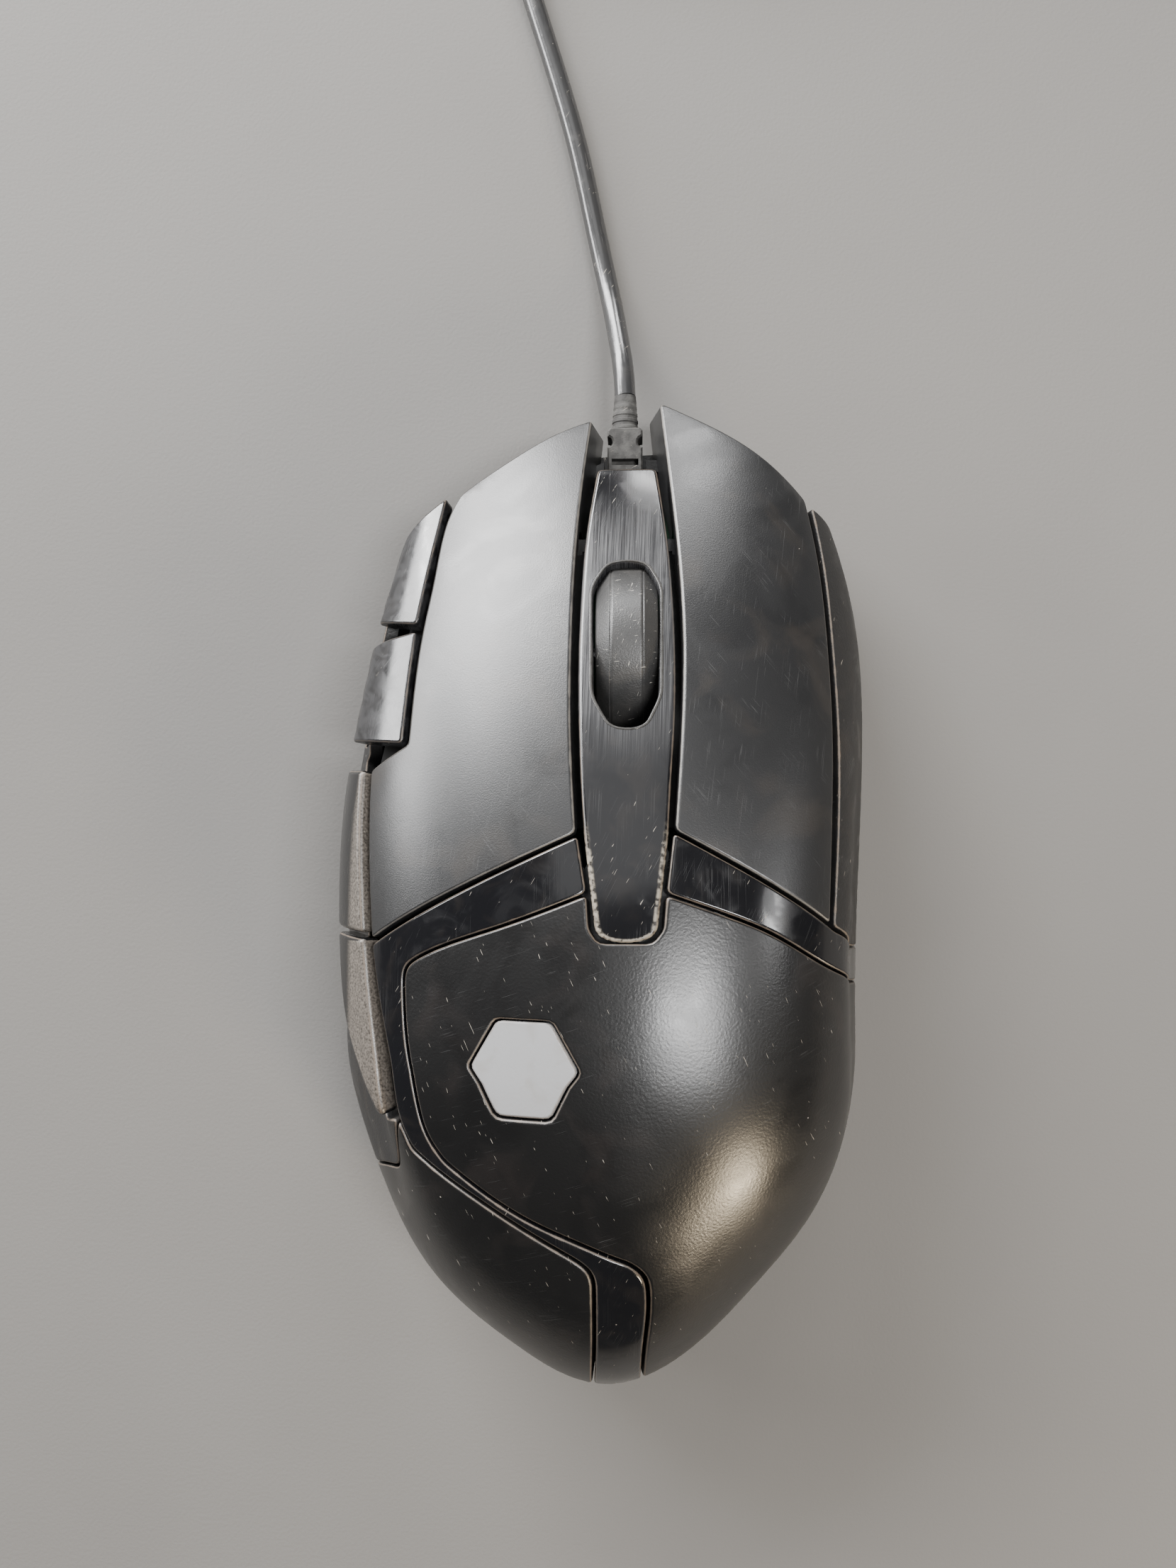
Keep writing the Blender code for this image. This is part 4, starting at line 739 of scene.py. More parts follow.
    def away_from(self, x, y):
        """The way in plan, in metres, from a spot on top."""
        flat = self.node("ShaderNodeVectorMath", Vector=self.place)
        flat.operation = "MULTIPLY"
        self.feed(flat.inputs[1], (1, 1, 0))
        away = self.node("ShaderNodeVectorMath", Vector=flat.outputs[0])
        away.operation = "SUBTRACT"
        self.feed(away.inputs[1], tuple(to_frame((x, y, 0)) * (1, 1, 0)))
        return away.outputs[0]

    def about(self, x, y, near, far):
        """1 within the near distance of a spot on top, 0 beyond the far one."""
        length = self.node("ShaderNodeVectorMath", Vector=self.away_from(x, y))
        length.operation = "LENGTH"
        return self.ramp(length.outputs["Value"], near / 1000, far / 1000, 1.0, 0.0)

    def fingerprint(self, x, y, reach):
        """Greasy ridges about one spot on top, given in the body's plan."""
        rings = self.node("ShaderNodeTexWave", Vector=self.away_from(x, y), Scale=620.0, Distortion=5.0)
        rings.wave_type = "RINGS"
        rings.rings_direction = "SPHERICAL"
        self.feed(rings.inputs["Detail Scale"], 0.3)
        ridges = self.math("MULTIPLY", rings.outputs["Fac"], self.about(x, y, reach * 0.4, reach))
        patchy = self.math("MULTIPLY", ridges, self.ramp(self.noise(1.5, 3.0), 0.35, 0.6))
        self.blend(self.math("MULTIPLY", patchy, 0.6), (0.05, 0.048, 0.045), 0.3)

    def fibres(self, turn, share, colour):
        """Short hairs and lint."""
        lines = self.noise(0.9, 0.0, stretch=(0.12, 1.6, 1.6), turn=turn, warp=0.6)
        self.blend(self.ramp(lines, 0.84 - share, 0.86 - share), colour, 0.8)

    def edge(self):
        """The distance in millimetres from the panel's edge, large on a piece that isn't a panel."""
        made = self.node("ShaderNodeAttribute")
        made.attribute_name = "nearness"
        return self.math("SUBTRACT", WEAR_REACH, made.outputs["Fac"])

    def dusty_edge(self, reach, amount, colour):
        """Dust that gathers in the seam round a panel."""
        uneven = self.math("MULTIPLY", self.noise(1.6, 4.0), reach * 2)
        near = self.ramp(self.math("SUBTRACT", uneven, self.edge()), 0.0, reach * 0.8, 0.0, amount)
        self.blend(near, colour, 0.75)

    def bright_rim(self, width, amount, colour):
        """The worn, polished line along a panel's edge."""
        line = self.ramp(self.edge(), width * 0.4, width, amount, 0.0)
        self.blend(line, colour, 0.25)

    def done(self):
        """Puts the layers together into the material."""
        self.feed(self.shader.inputs["Base Color"], self.colour)
        self.feed(self.shader.inputs["Roughness"], self.roughness)
        if self.normal:
            self.feed(self.shader.inputs["Normal"], self.normal)
        return self.material


DUST = (0.26, 0.235, 0.20)
GREASE = (0.030, 0.025, 0.021)
BROWN_DUST = (0.17, 0.12, 0.08)
RUBBED_MATT = (0.14, 0.13, 0.12)
RUBBED_GLOSS = (0.10, 0.09, 0.08)


def button_plastic():
    """Fine-textured matt black, polished and browned by fingers."""
    look = Look("button_plastic", (0.011, 0.011, 0.0115), 0.35, shine=0.9)
    look.grain(0.18, 0.012)
    look.smudges(14.0, 0.05, GREASE)
    look.fingerprint(-9.5, 37.0, 5.0)
    look.scratches(8, 0.05, 6.0, 0.04, (0.05, 0.05, 0.05), 0.4)
    look.scratches(-40, 0.05, 4.0, 0.03, (0.045, 0.045, 0.045), 0.4)
    look.specks(1.5, 0.07, DUST)
    look.dusty_edge(0.14, 0.45, DUST)
    look.bright_rim(0.16, 0.30, RUBBED_MATT)
    return look.done()


def gloss(name, turn):
    """The unfinished look of piano black, with fine scratches along one direction, dust and smears."""
    look = Look(name, (0.005, 0.005, 0.006), 0.13, shine=0.75)
    look.raise_by(look.noise(5.0, 2.0), 0.012)
    look.raise_by(look.noise(0.07, 1.0, stretch=(1, 45, 45), turn=turn), 0.0007)
    look.smudges(6.0, -0.12, (0.014, 0.012, 0.011))
    look.scratches(turn, 0.035, 9.0, 0.07, (0.035, 0.035, 0.035), 0.3)
    look.scratches(turn + 25, 0.03, 5.0, 0.04, (0.03, 0.03, 0.03), 0.3)
    look.specks(1.3, 0.09, DUST)
    look.fibres(30, 0.0, DUST)
    look.dusty_edge(0.12, 0.6, BROWN_DUST)
    look.bright_rim(0.14, 0.35, RUBBED_GLOSS)
    return look


def gloss_plastic():
    """The trim's piano black."""
    return gloss("gloss_plastic", 0).done()


def spine_plastic():
    """Piano black, with a painted sheen of grey brushed streaks round the wheel, and pale dust caught along
    the tab.
    """
    look = gloss("spine_plastic", 2)
    streaks = look.ramp(look.noise(1.0, 3.0, stretch=(0.12, 9, 9), turn=2), 0.3, 0.75, 0.2, 1.0)
    # Painted sheen: the brushed streaks round the wheel are lightened to grey to stand for the light's
    # reflection there.
    painted_sheen = look.about(-0.2, 38.0, 9.0, 20.0)
    look.blend(look.math("MULTIPLY", painted_sheen, streaks), (0.085, 0.085, 0.088), 0.34)
    crumbly = look.ramp(look.noise(0.6, 4.0), 0.38, 0.6, 0.1, 0.9)
    near_edge = look.ramp(look.edge(), 0.2, 0.45, 0.9, 0.0)
    dusty = look.math("MULTIPLY", look.about(-0.2, 3.0, 7.0, 12.0), near_edge)
    look.blend(look.math("MULTIPLY", dusty, crumbly), (0.32, 0.28, 0.22), 0.8)
    return look.done()


def index_plastic():
    """Piano black, hazed grey by finger grease."""
    look = gloss("index_plastic", 12)
    haze = look.ramp(look.noise(2.5, 5.0, warp=1.0), 0.35, 0.65, 0.1, 0.7)
    look.blend(haze, (0.04, 0.04, 0.042), 0.27)
    return look.done()


def painted_highlight_rim():
    """The lip round the wheel's slot, painted a lighter grey as a highlight along the slot's edge, with
    darker patches and dust specks.
    """
    look = Look("painted_highlight_rim", (0.06, 0.058, 0.055), 0.25)
    look.grain(0.2, 0.01)
    look.mottle(0.9, 4.0, 0.45, 0.7, 0.6, (0.02, 0.018, 0.016), 0.3)
    look.specks(0.8, 0.1, DUST)
    return look.done()


def satin_plastic():
    """The palm's satin black, with the orange-peel grain of its mould."""
    look = Look("satin_plastic", (0.005, 0.0048, 0.0048), 0.33, shine=0.8)
    look.grain(0.34, 0.017)
    look.smudges(12.0, 0.05, (0.016, 0.013, 0.012))
    look.scratches(70, 0.05, 5.0, 0.03, (0.04, 0.04, 0.04), 0.35)
    look.specks(1.4, 0.10, DUST)
    look.fibres(-25, 0.0, DUST)
    look.dusty_edge(0.12, 0.55, BROWN_DUST)
    look.bright_rim(0.14, 0.25, RUBBED_GLOSS)
    return look.done()


def grip_plastic():
    """The sides' coarser matt texture."""
    look = Look("grip_plastic", (0.013, 0.0125, 0.0125), 0.5)
    look.grain(0.32, 0.05)
    look.smudges(8.0, 0.12, GREASE)
    look.specks(1.2, 0.10, DUST)
    look.fibres(15, 0.0, DUST)
    look.dusty_edge(0.16, 0.7, BROWN_DUST)
    look.bright_rim(0.16, 0.30, RUBBED_MATT)
    return look.done()


def thumb_plastic():
    """Glossy black buttons whose upper faces the thumb has rubbed to a grainy brownish grey."""
    look = Look("thumb_plastic", (0.006, 0.006, 0.0065), 0.18, shine=0.75)
    look.grain(0.3, 0.014)
    upward = look.node("ShaderNodeSeparateXYZ", Vector=look.facing).outputs["Z"]
    grainy = look.ramp(look.noise(0.3, 3.0), 0.25, 0.7, 0.3, 1.0)
    worn = look.ramp(upward, 0.56, 0.62)
    look.blend(look.math("MULTIPLY", worn, grainy), (0.15, 0.13, 0.11), 0.45)
    look.scratches(5, 0.05, 3.5, 0.05, (0.05, 0.045, 0.04), 0.4)
    look.specks(1.1, 0.12, DUST)
    look.dusty_edge(0.14, 0.6, BROWN_DUST)
    look.bright_rim(0.16, 0.30, (0.14, 0.125, 0.11))
    return look.done()


def window_plastic():
    """A frosted light window, dusty and a little yellowed."""
    look = Look("window_plastic", (0.33, 0.33, 0.335), 0.34)
    look.grain(0.4, 0.012)
    look.smudges(5.0, 0.08, (0.28, 0.27, 0.255))
    look.specks(0.9, 0.2, (0.30, 0.26, 0.22))
    look.dusty_edge(0.15, 0.6, (0.16, 0.13, 0.11))
    return look.done()


def rubber():
    """The wheel's tyre: matt, lint-catching, paler where it is rubbed."""
    look = Look("rubber", (0.030, 0.0295, 0.029), 0.42, shine=0.9)
    look.grain(0.2, 0.03)
    look.mottle(2.2, 4.0, 0.45, 0.8, 0.5, (0.05, 0.045, 0.04), 0.65)
    look.specks(0.8, 0.3, DUST)
    look.fibres(80, 0.02, (0.4, 0.38, 0.34))
    look.fibres(20, 0.02, (0.4, 0.38, 0.34))
    return look.done()


def cable_rubber():
    """The cable's smooth jacket, greyed by dust."""
    look = Look("cable_rubber", (0.035, 0.035, 0.0355), 0.22, shine=1.0)
    look.raise_by(look.noise(1.2, 3.0), 0.02)
    look.mottle(3.0, 5.0, 0.5, 0.85, 0.4, (0.06, 0.055, 0.05), 0.5)
    look.scratches(-12, 0.08, 5.0, 0.04, (0.09, 0.085, 0.08), 0.5)
    look.specks(0.9, 0.3, DUST)
    look.fibres(35, 0.01, DUST)
    return look.done()


def dusty_rubber():
    """The strain relief, grey with dust in its corners."""
    look = Look("dusty_rubber", (0.035, 0.033, 0.031), 0.7)
    look.grain(0.25, 0.04)
    look.mottle(1.4, 5.0, 0.35, 0.7, 0.7, (0.11, 0.107, 0.10), 0.85)
    look.specks(0.6, 0.4, DUST)
    look.fibres(60, 0.03, DUST)
    return look.done()


def woven_tie():
    """Hook-and-loop cloth: fine crossing threads."""
    look = Look("woven_tie", (0.035, 0.035, 0.038), 0.85)
    for turn in (45, -45):
        threads = look.node("ShaderNodeTexWave", Vector=look.stretched((1, 1, 1), turn), Scale=0.9)
        look.raise_by(threads.outputs[1], 0.08)
    look.mottle(0.5, 3.0, 0.4, 0.7, 0.6, (0.10, 0.10, 0.105))
    look.fibres(20, 0.02, DUST)
    return look.done()


def steel():
    """Bright drawn metal with handling marks."""
    look = Look("steel", (0.60, 0.60, 0.62), 0.22, metallic=1.0)
    look.raise_by(look.noise(1.0, 2.0, stretch=(0.12, 4.0, 1.0)), 0.004)
    look.smudges(4.0, -0.12, (0.50, 0.49, 0.47))
    look.scratches(20, 0.04, 3.0, 0.08, (0.80, 0.80, 0.80), 0.4)
    return look.done()


def glide():
    """Slick grey feet, scuffed in the directions of travel, with grime at their edges."""
    look = Look("glide", (0.085, 0.085, 0.09), 0.34)
    look.scratches(0, 0.08, 8.0, 0.1, (0.24, 0.24, 0.24), 0.5)
    look.scratches(80, 0.08, 8.0, 0.1, (0.22, 0.22, 0.22), 0.5)
    look.smudges(4.0, -0.1, (0.15, 0.13, 0.11))
    look.specks(1.0, 0.2, DUST)
    return look.done()


def moulded(name, colour, roughness):
    """Plain moulded plastic inside the body, with a faint texture and a little dust."""
    look = Look(name, colour, roughness)
    look.grain(0.3, 0.01)
    look.smudges(5.0, 0.06, tuple(0.8 * part + 0.02 for part in colour))
    look.specks(1.0, 0.12, DUST)
    return look.done()


def board():
    """Green solder mask over faint copper tracks."""
    look = Look("board", (0.004, 0.028, 0.012), 0.32)
    tracks = look.node("ShaderNodeTexBrick", Vector=look.stretched((1, 1, 1), 0), Scale=0.5)
    look.blend(look.ramp(tracks.outputs["Fac"], 0.0, 1.0, 0.0, 0.8), (0.008, 0.05, 0.02), 0.4)
    look.raise_by(tracks.outputs["Fac"], 0.03)
    look.specks(2.4, 0.5, (0.55, 0.55, 0.52))
    return look.done()


def clear():
    """Slightly frosted clear plastic."""
    look = Look("clear", (0.80, 0.85, 0.88), 0.12)
    look.grain(0.5, 0.004)
    look.smudges(3.0, -0.08, (0.70, 0.74, 0.76))
    look.feed(look.shader.inputs["Transmission Weight"], 0.7)
    return look.done()


def desk_top():
    """The pale desk: faintly uneven in colour and grain."""
    look = Look("desk", (0.19, 0.183, 0.173), 0.75)
    look.grain(0.5, 0.03)
    look.mottle(60.0, 3.0, 0.35, 0.7, 0.35, (0.16, 0.153, 0.146))
    return look.done()


LOOKS = {
    "matte_black": button_plastic(), "gloss_black": gloss_plastic(),
    "satin_black": satin_plastic(), "grip_black": grip_plastic(), "rubber_black": rubber(),
    "window_grey": window_plastic(), "clear_plastic": clear(), "board_green": board(),
    "chip_black": moulded("chip_plastic", (0.020, 0.020, 0.021), 0.45),
    "switch_white": moulded("switch_plastic", (0.72, 0.71, 0.68), 0.4),
    "steel": steel(), "glide_grey": glide(),
}
SPINE_GLOSS = spine_plastic()
INDEX_GLOSS = index_plastic()
RIM_HIGHLIGHT = painted_highlight_rim()
THUMB_WORN = thumb_plastic()
CABLE_JACKET = cable_rubber()
DUSTY_RUBBER = dusty_rubber()
# The near-black of the sheets of painted shade under the gaps.
SHADE_SHEET_BLACK = moulded("shade_sheet_black", (0.006, 0.006, 0.006), 0.8)
TIE_CLOTH = woven_tie()


def dress_nodes():
    """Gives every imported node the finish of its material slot; the cable's socket is black."""
    for part in frame["record"]["subparts"]:
        materials = frame["nodes"][part["node"]].data.materials
        materials.clear()
        materials.append(LOOKS[part["material_slot"]])
    frame["nodes"]["cable_connector"].data.materials[0] = LOOKS["chip_black"]


# ---- The body's panels ----------------------------------------------------------------------------


def nose_distance(front, places):
    """How far body places lie behind a main button's front edge."""
    return (curve(front, places[:, 0]) - places[:, 1]) * NOSE_SLANT


def main_button(name, front, inner, runs):
    """A main button with its rounded nose, its front skirt and the drafted wall of its channel."""

    def shape(points):
        places = surface(points)
        closeness = np.clip(NOSE_ROUND - nose_distance(front, places), 0, NOSE_ROUND * 0.98)
        places[:, 2] -= NOSE_ROUND - np.sqrt(NOSE_ROUND**2 - closeness**2)
        return places

    def under(points):
        outer = surface(points)
        places = shape(points) - normals(points, shape) * BUTTON_WALL
        channel_x = curve(sorted((y, x) for x, y in inner), outer[:, 1])
        beside = (np.abs(outer[:, 0] - channel_x) < SKIRT_WALL) & (outer[:, 1] > CHANNEL_Y)
        ahead = nose_distance(front, outer) < SKIRT_WALL + 0.15
        low = beside | ahead
        places[low] = outer[low]
        draft = CHANNEL_DRAFT * ease((outer[beside, 1] - CHANNEL_Y) / CHANNEL_DRAFT_RUN)
        places[beside, 0] -= np.sign(channel_x[beside]) * draft
        places[low, 2] = SKIRT_Z
        return places

    panel(name, "matte_black", runs, body=name, shape=shape, under=under, gap=BUTTON_SEAM / 2)


def main_buttons():
    """The left and right main buttons."""
    main_button(
        "left_button", LEFT_BUTTON_FRONT, LEFT_BUTTON_INNER,
        (
            on_map(*LEFT_BUTTON_INNER[::-1]), on_map(*LEFT_BUTTON_FRONT[::-1]),
            on_map(*LEFT_BUTTON_OUTER[::-1]), on_map(LEFT_BUTTON_OUTER[0], LEFT_BUTTON_LOBE[0]),
            on_map(*LEFT_BUTTON_LOBE), on_map(LEFT_BUTTON_LOBE[-1], LEFT_BUTTON_INNER[-1]),
        ),
    )
    main_button(
        "right_button", RIGHT_BUTTON_FRONT, RIGHT_BUTTON_INNER,
        (
            on_map(*RIGHT_BUTTON_FRONT), on_map(*RIGHT_BUTTON_OUTER),
            on_map(RIGHT_BUTTON_OUTER[-1], RIGHT_BUTTON_INNER[0]), on_map(*RIGHT_BUTTON_INNER),
        ),
    )


def slot_outline(margin):
    """The wheel's slot with its cut corners, made larger by a margin."""
    outline = softened(polygon(on_map(*SLOT)), 1.1)
    return inset(outline, -margin) if margin else outline


def spine_cover():
    """The strip between the buttons, and the bright lip of the wheel's slot in it."""
    panel(
        "spine_cover", "gloss_black",
        (
            on_map(*SPINE_LEFT), on_map(SPINE_LEFT[-1], SPINE_RIGHT[0]), on_map(*SPINE_RIGHT),
            on_map(SPINE_RIGHT[-1], SPINE_TAB[0]), on_map(*SPINE_TAB),
            on_map(SPINE_TAB[-1], SPINE_LEFT[0]),
        ),
        look=SPINE_GLOSS, holes=(slot_outline(0),), gap=SPINE_SEAM / 2, wall=SPINE_WALL,
    )
    lip = panel_mesh(
        "slot_rim", slot_outline(0.30), proud(0.08), (slot_outline(0.05),),
        rim=0.08, wall=0.5, spacing=0.6,
    )
    # The lip's lighter grey is a painted highlight along the slot's edge.
    add_object("slot_rim", lip, "gloss_black", look=RIM_HIGHLIGHT)


def palm_edge():
    """Where the palm meets the right trim, from the middle outwards and down."""
    return [*on_map(*PALM_FRONT_RIGHT), on_side(1, -8.5, 0.8), on_side(1, -10.5, 1.0)]


def trim_edge():
    """Where the right trim meets the right side panel, from the top down."""
    return [on_side(1, -3.8, 0.8), on_side(1, -5.5, 1.0), on_side(1, -6.0, SKIN_Q)]


def tail_edge(points, angle):
    """One long edge of the strip over the tail, down to the bottom of the skin."""
    return [*on_map(*points), on_rear(angle, SKIN_Q)]


def crease():
    """Where the rear panel meets the thumb rest, from the top down."""
    low = on_rear(CREASE_ANGLE - 3, 0.75), on_rear(CREASE_ANGLE - 1, 1.0), on_rear(CREASE_ANGLE, SKIN_Q)
    return [*on_map(*CREASE), *low]


def trim():
    """The glossy band behind the buttons: the left piece runs on down the strip and the tail."""
    panel(
        "trim_left", "gloss_black",
        (
            on_map(LEFT_BUTTON_INNER[-1], STRIP_OUTER[0]), on_map(*STRIP_OUTER),
            on_map(*STRIP_DIAGONAL_OUTER), tail_edge(TAIL_LEFT, TAIL_LEFT_ANGLE),
            (on_rear(TAIL_LEFT_ANGLE, SKIN_Q), on_rear(TAIL_RIGHT_ANGLE, SKIN_Q)),
            tail_edge(TAIL_RIGHT, TAIL_RIGHT_ANGLE)[::-1],
            on_map(*STRIP_DIAGONAL_INNER[::-1]), on_map(*STRIP_INNER[::-1]), on_map(*PALM_FRONT_LEFT),
            on_map(PALM_NOTCH[0], LEFT_BUTTON_INNER[-1]),
        ),
    )
    low_rear, low_front = on_side(1, -11.0, SKIN_Q), trim_edge()[-1]
    panel(
        "trim_right", "gloss_black",
        (
            on_map(RIGHT_BUTTON_INNER[0], PALM_NOTCH[-1]), palm_edge(), (palm_edge()[-1], low_rear),
            (low_rear, low_front), [*trim_edge()[::-1], *on_map((25.6, -0.5))],
            on_map(RIGHT_BUTTON_OUTER[-1], RIGHT_BUTTON_INNER[0]),
        ),
    )


def emblem_outline(radius):
    """The hexagonal light window in the palm."""
    x, y = EMBLEM_CENTRE
    turns = [math.radians(angle) for angle in range(0, 360, 60)]
    corners = [(x + radius * math.cos(turn), y + radius * math.sin(turn)) for turn in turns]
    return softened(polygon(on_map(*corners)))


def palm_shell():
    """The palm cover and the plain hexagonal light window in it."""
    right_low = [on_side(1, y, SKIN_Q) for y in (FAN_Y, -14.5, -11.0)]
    notch = on_map(*PALM_NOTCH[::-1])
    panel(
        "palm_shell", "satin_black",
        (
            on_map(*STRIP_INNER), on_map(*STRIP_DIAGONAL_INNER),
            tail_edge(TAIL_RIGHT, TAIL_RIGHT_ANGLE), rear_arc(TAIL_RIGHT_ANGLE, 90, SKIN_Q), right_low,
            (right_low[-1], palm_edge()[-1]), palm_edge()[::-1],
            *zip(notch, notch[1:]), on_map(*PALM_FRONT_LEFT[::-1]),
        ),
        holes=(emblem_outline(EMBLEM_RADIUS + 0.25),),
    )
    window = panel_mesh("palm_light_window", emblem_outline(EMBLEM_RADIUS), proud(-0.15), rim=0.25)
    add_object("palm_light_window_skin", window, "window_grey", "palm_light_window")


def left_rear_panel():
    """The satin panel between the strip, the tail and the crease behind the thumb."""
    panel(
        "left_rear_panel", "satin_black",
        (
            on_map(CREASE[0], STRIP_OUTER[-1]), on_map(*STRIP_DIAGONAL_OUTER),
            tail_edge(TAIL_LEFT, TAIL_LEFT_ANGLE), rear_arc(TAIL_LEFT_ANGLE, CREASE_ANGLE, SKIN_Q),
            crease()[::-1],
        ),
    )


def tip_outline(margin):
    """The small button by the thumb's tip, as an oval on the map."""
    turns = np.linspace(0, 2 * math.pi, 40, endpoint=False)
    half_down, half_along = np.array(THUMB_TIP_HALF) + margin
    oval = np.stack([half_down * np.cos(turns), half_along * np.sin(turns)], 1)
    return np.array(on_side(-1, *THUMB_TIP)) + oval


def thumb_rest():
    """The left side below the ridge, cut back under the thumb and index buttons."""
    row_ys = (-23.6, -17.5, -12.0, -6.0, 0.0, 10.0, 20.5)
    row_low = [ridge(y, row_height(y) + 0.065) for y in row_ys]
    index_low = [on_side(-1, y, INDEX_LOW_Q) for y in (22.5, 30.0, 38.0, 46.0, 52.0)]
    panel(
        "thumb_rest", "grip_black",
        (
            crease(), rear_arc(CREASE_ANGLE, -90, SKIN_Q),
            [on_side(-1, y, SKIN_Q) for y in (-18.0, 0.0, 20.0, 40.0, 53.0)],
            (on_side(-1, 53.0, SKIN_Q), on_side(-1, 54.0, 1.0), index_low[-1]),
            index_low[::-1], (index_low[0], row_low[-1]), row_low[::-1],
            (row_low[0], crease()[0]),
        ),
        holes=(tip_outline(0.35),),
    )


def thumb_tip_button():
    """The small oval button in the thumb rest."""
    tip = panel_mesh("thumb_tip_button", tip_outline(0), proud(0.5), wall=TIP_WALL, rim=0.5, spacing=0.9)
    add_object(
        "thumb_tip_button_skin", tip, "satin_black", "thumb_tip_button",
        body="thumb_tip", look=THUMB_WORN,
    )


def index_buttons():
    """The two buttons beside the left button, each a little proud of the skin."""
    low = [on_side(-1, y, INDEX_LOW_Q - 0.01) for y in (46.0, 39.1, 35.6, 22.9)]
    front, tip, rear = on_map(*INDEX_FRONT_INNER), on_map(*INDEX_FRONT_TIP), on_map(*INDEX_REAR_INNER)
    outlines = {
        "front": (front, tip, (tip[-1], *low[:2]), (low[1], front[0])),
        "rear": (rear, (rear[-1], low[2]), low[2:], (low[3], rear[0])),
    }
    for place, runs in outlines.items():
        panel(
            f"index_button_{place}", "gloss_black", runs, body=f"index_{place}", look=INDEX_GLOSS,
            shape=swollen(0.2, 1.2), wall=INDEX_WALL, rim=0.4,
        )


def thumb_buttons():
    """The two buttons over the thumb, proud of the skin."""
    for place, start, end in zip(("front", "rear"), THUMB_ROW, THUMB_ROW[1:]):
        stretch = np.linspace(start - 0.2, end + 0.2, 5)
        low = [ridge(y, 0.015 + row_height(y)) for y in stretch]
        high = [ridge(y, 0.018) for y in stretch]
        panel(
            f"thumb_button_{place}", "gloss_black",
            (high, (high[-1], low[-1]), low[::-1], (low[0], high[0])),
            body=f"thumb_{place}", look=THUMB_WORN,
            shape=proud(0.8, hollowed=False), wall=THUMB_WALL, rim=0.7,
        )


def right_side_panel():
    """The grip on the right, from the trim to the nose."""
    top = on_map(*RIGHT_PANEL_TOP)
    panel(
        "right_side_panel", "grip_black",
        (
            top, [top[-1], *trim_edge()],
            [on_side(1, y, SKIN_Q) for y in (-6.0, 8.0, 22.0, 36.0, 50.0)],
            (on_side(1, 50.0, SKIN_Q), on_side(1, 52.5, 1.0), top[0]),
        ),
    )


def shade_sheet(name, outline):
    """A dark sheet of painted shade a little below the skin, which closes the view through a gap."""
    shape = proud(-SHADE_SHEET_DEPTH, hollowed=False)
    data = panel_mesh(name, softened(outline), shape, wall=SHADE_SHEET_WALL, rim=0.2)
    add_object(name, data, "satin_black", look=SHADE_SHEET_BLACK)


def shade_sheets():
    """Sheets of painted shade under the index buttons' gaps and under the channels beside the spine cover.
    """
    high = on_map((-27.2, 18.5), (-26.5, 30.0), (-25.5, 42.0), (-23.0, 53.0))
    low = [on_side(-1, y, INDEX_LOW_Q + 0.03) for y in (53.0, 42.0, 30.0, 18.5)]
    shade_sheet("index_shade_sheet", closed_outline(high, (high[-1], low[0]), low, (low[-1], high[0])))
    for side, name in ((-1, "channel_shade_sheet_left"), (1, "channel_shade_sheet_right")):
        near, far = side * 5.2, side * 8.2
        shade_sheet(name, polygon(on_map((near, 13.0), (near, 51.5), (far, 51.5), (far, 13.0))))


# ---- Solids made of rings ---------------------------------------------------------------------------


def finished(name, mesh):
    """The object data of a bmesh, smooth apart from its sharp edges."""
    bmesh.ops.recalc_face_normals(mesh, faces=mesh.faces)
    data = bpy.data.meshes.new(name)
    mesh.to_mesh(data)
    mesh.free()
    data.shade_smooth()
    data.set_sharp_from_angle(angle=SHARP)
    return data


def add_rings(mesh, levels, closed=False):
    """Adds equal rings of body places with faces between them; closed joins the last to the first."""
    rings = [[mesh.verts.new(to_frame(point)) for point in level] for level in levels]
    following = rings[1:] + rings[:1] if closed else rings[1:]
    for lower, upper in zip(rings, following):
        for i in range(len(lower)):
            j = (i + 1) % len(lower)
            mesh.faces.new((lower[i], lower[j], upper[j], upper[i]))
    return rings


def lofted(mesh, levels):
    """Adds a solid through equal rings of points, with a face over each end."""
    rings = add_rings(mesh, levels)
    mesh.faces.new(rings[0][::-1])
    mesh.faces.new(rings[-1])


def rounded_profile(corners, radius, steps=5):
    """A closed profile with each corner rounded."""
    points = []
    corners = [np.array(corner, float) for corner in corners]
    for before, corner, after in zip(corners[-1:] + corners[:-1], corners, corners[1:] + corners[:1]):
        to_before, to_after = np.linalg.norm(before - corner), np.linalg.norm(after - corner)
        reach = min(radius, to_before / 2.1, to_after / 2.1)
        start = corner + (before - corner) / to_before * reach
        end = corner + (after - corner) / to_after * reach
        for t in np.linspace(0, 1, steps + 1):
            points.append(tuple((1 - t) ** 2 * start + 2 * t * (1 - t) * corner + t * t * end))
    return points


def rounded_rectangle(middle, size, radius, steps=6):
    """Outline of a rectangle with round corners."""
    half = np.array(size) / 2
    corners = [(sx * half[0], sy * half[1]) for sx, sy in ((1, 1), (-1, 1), (-1, -1), (1, -1))]
    return np.array(rounded_profile(corners, radius, steps)) + middle


def standing_ring(outline, y):
    """An outline in the x-z plane as points at one y."""
    return [(x, y, z) for x, z in outline]


def node_box(node):
    """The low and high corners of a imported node, in millimetres in the body's plan."""
    return [np.array(corner) * 1000 - (WHEEL_PLANE_X, BODY_SHIFT_Y, 0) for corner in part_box(node)]


def add_cube(mesh, middle, size):
    """Adds a block by its middle and size in millimetres."""
    matrix = Matrix.Translation(to_frame(middle)) @ Matrix.Diagonal((*np.array(size) / 1000, 1))
    return bmesh.ops.create_cube(mesh, size=1, matrix=matrix)


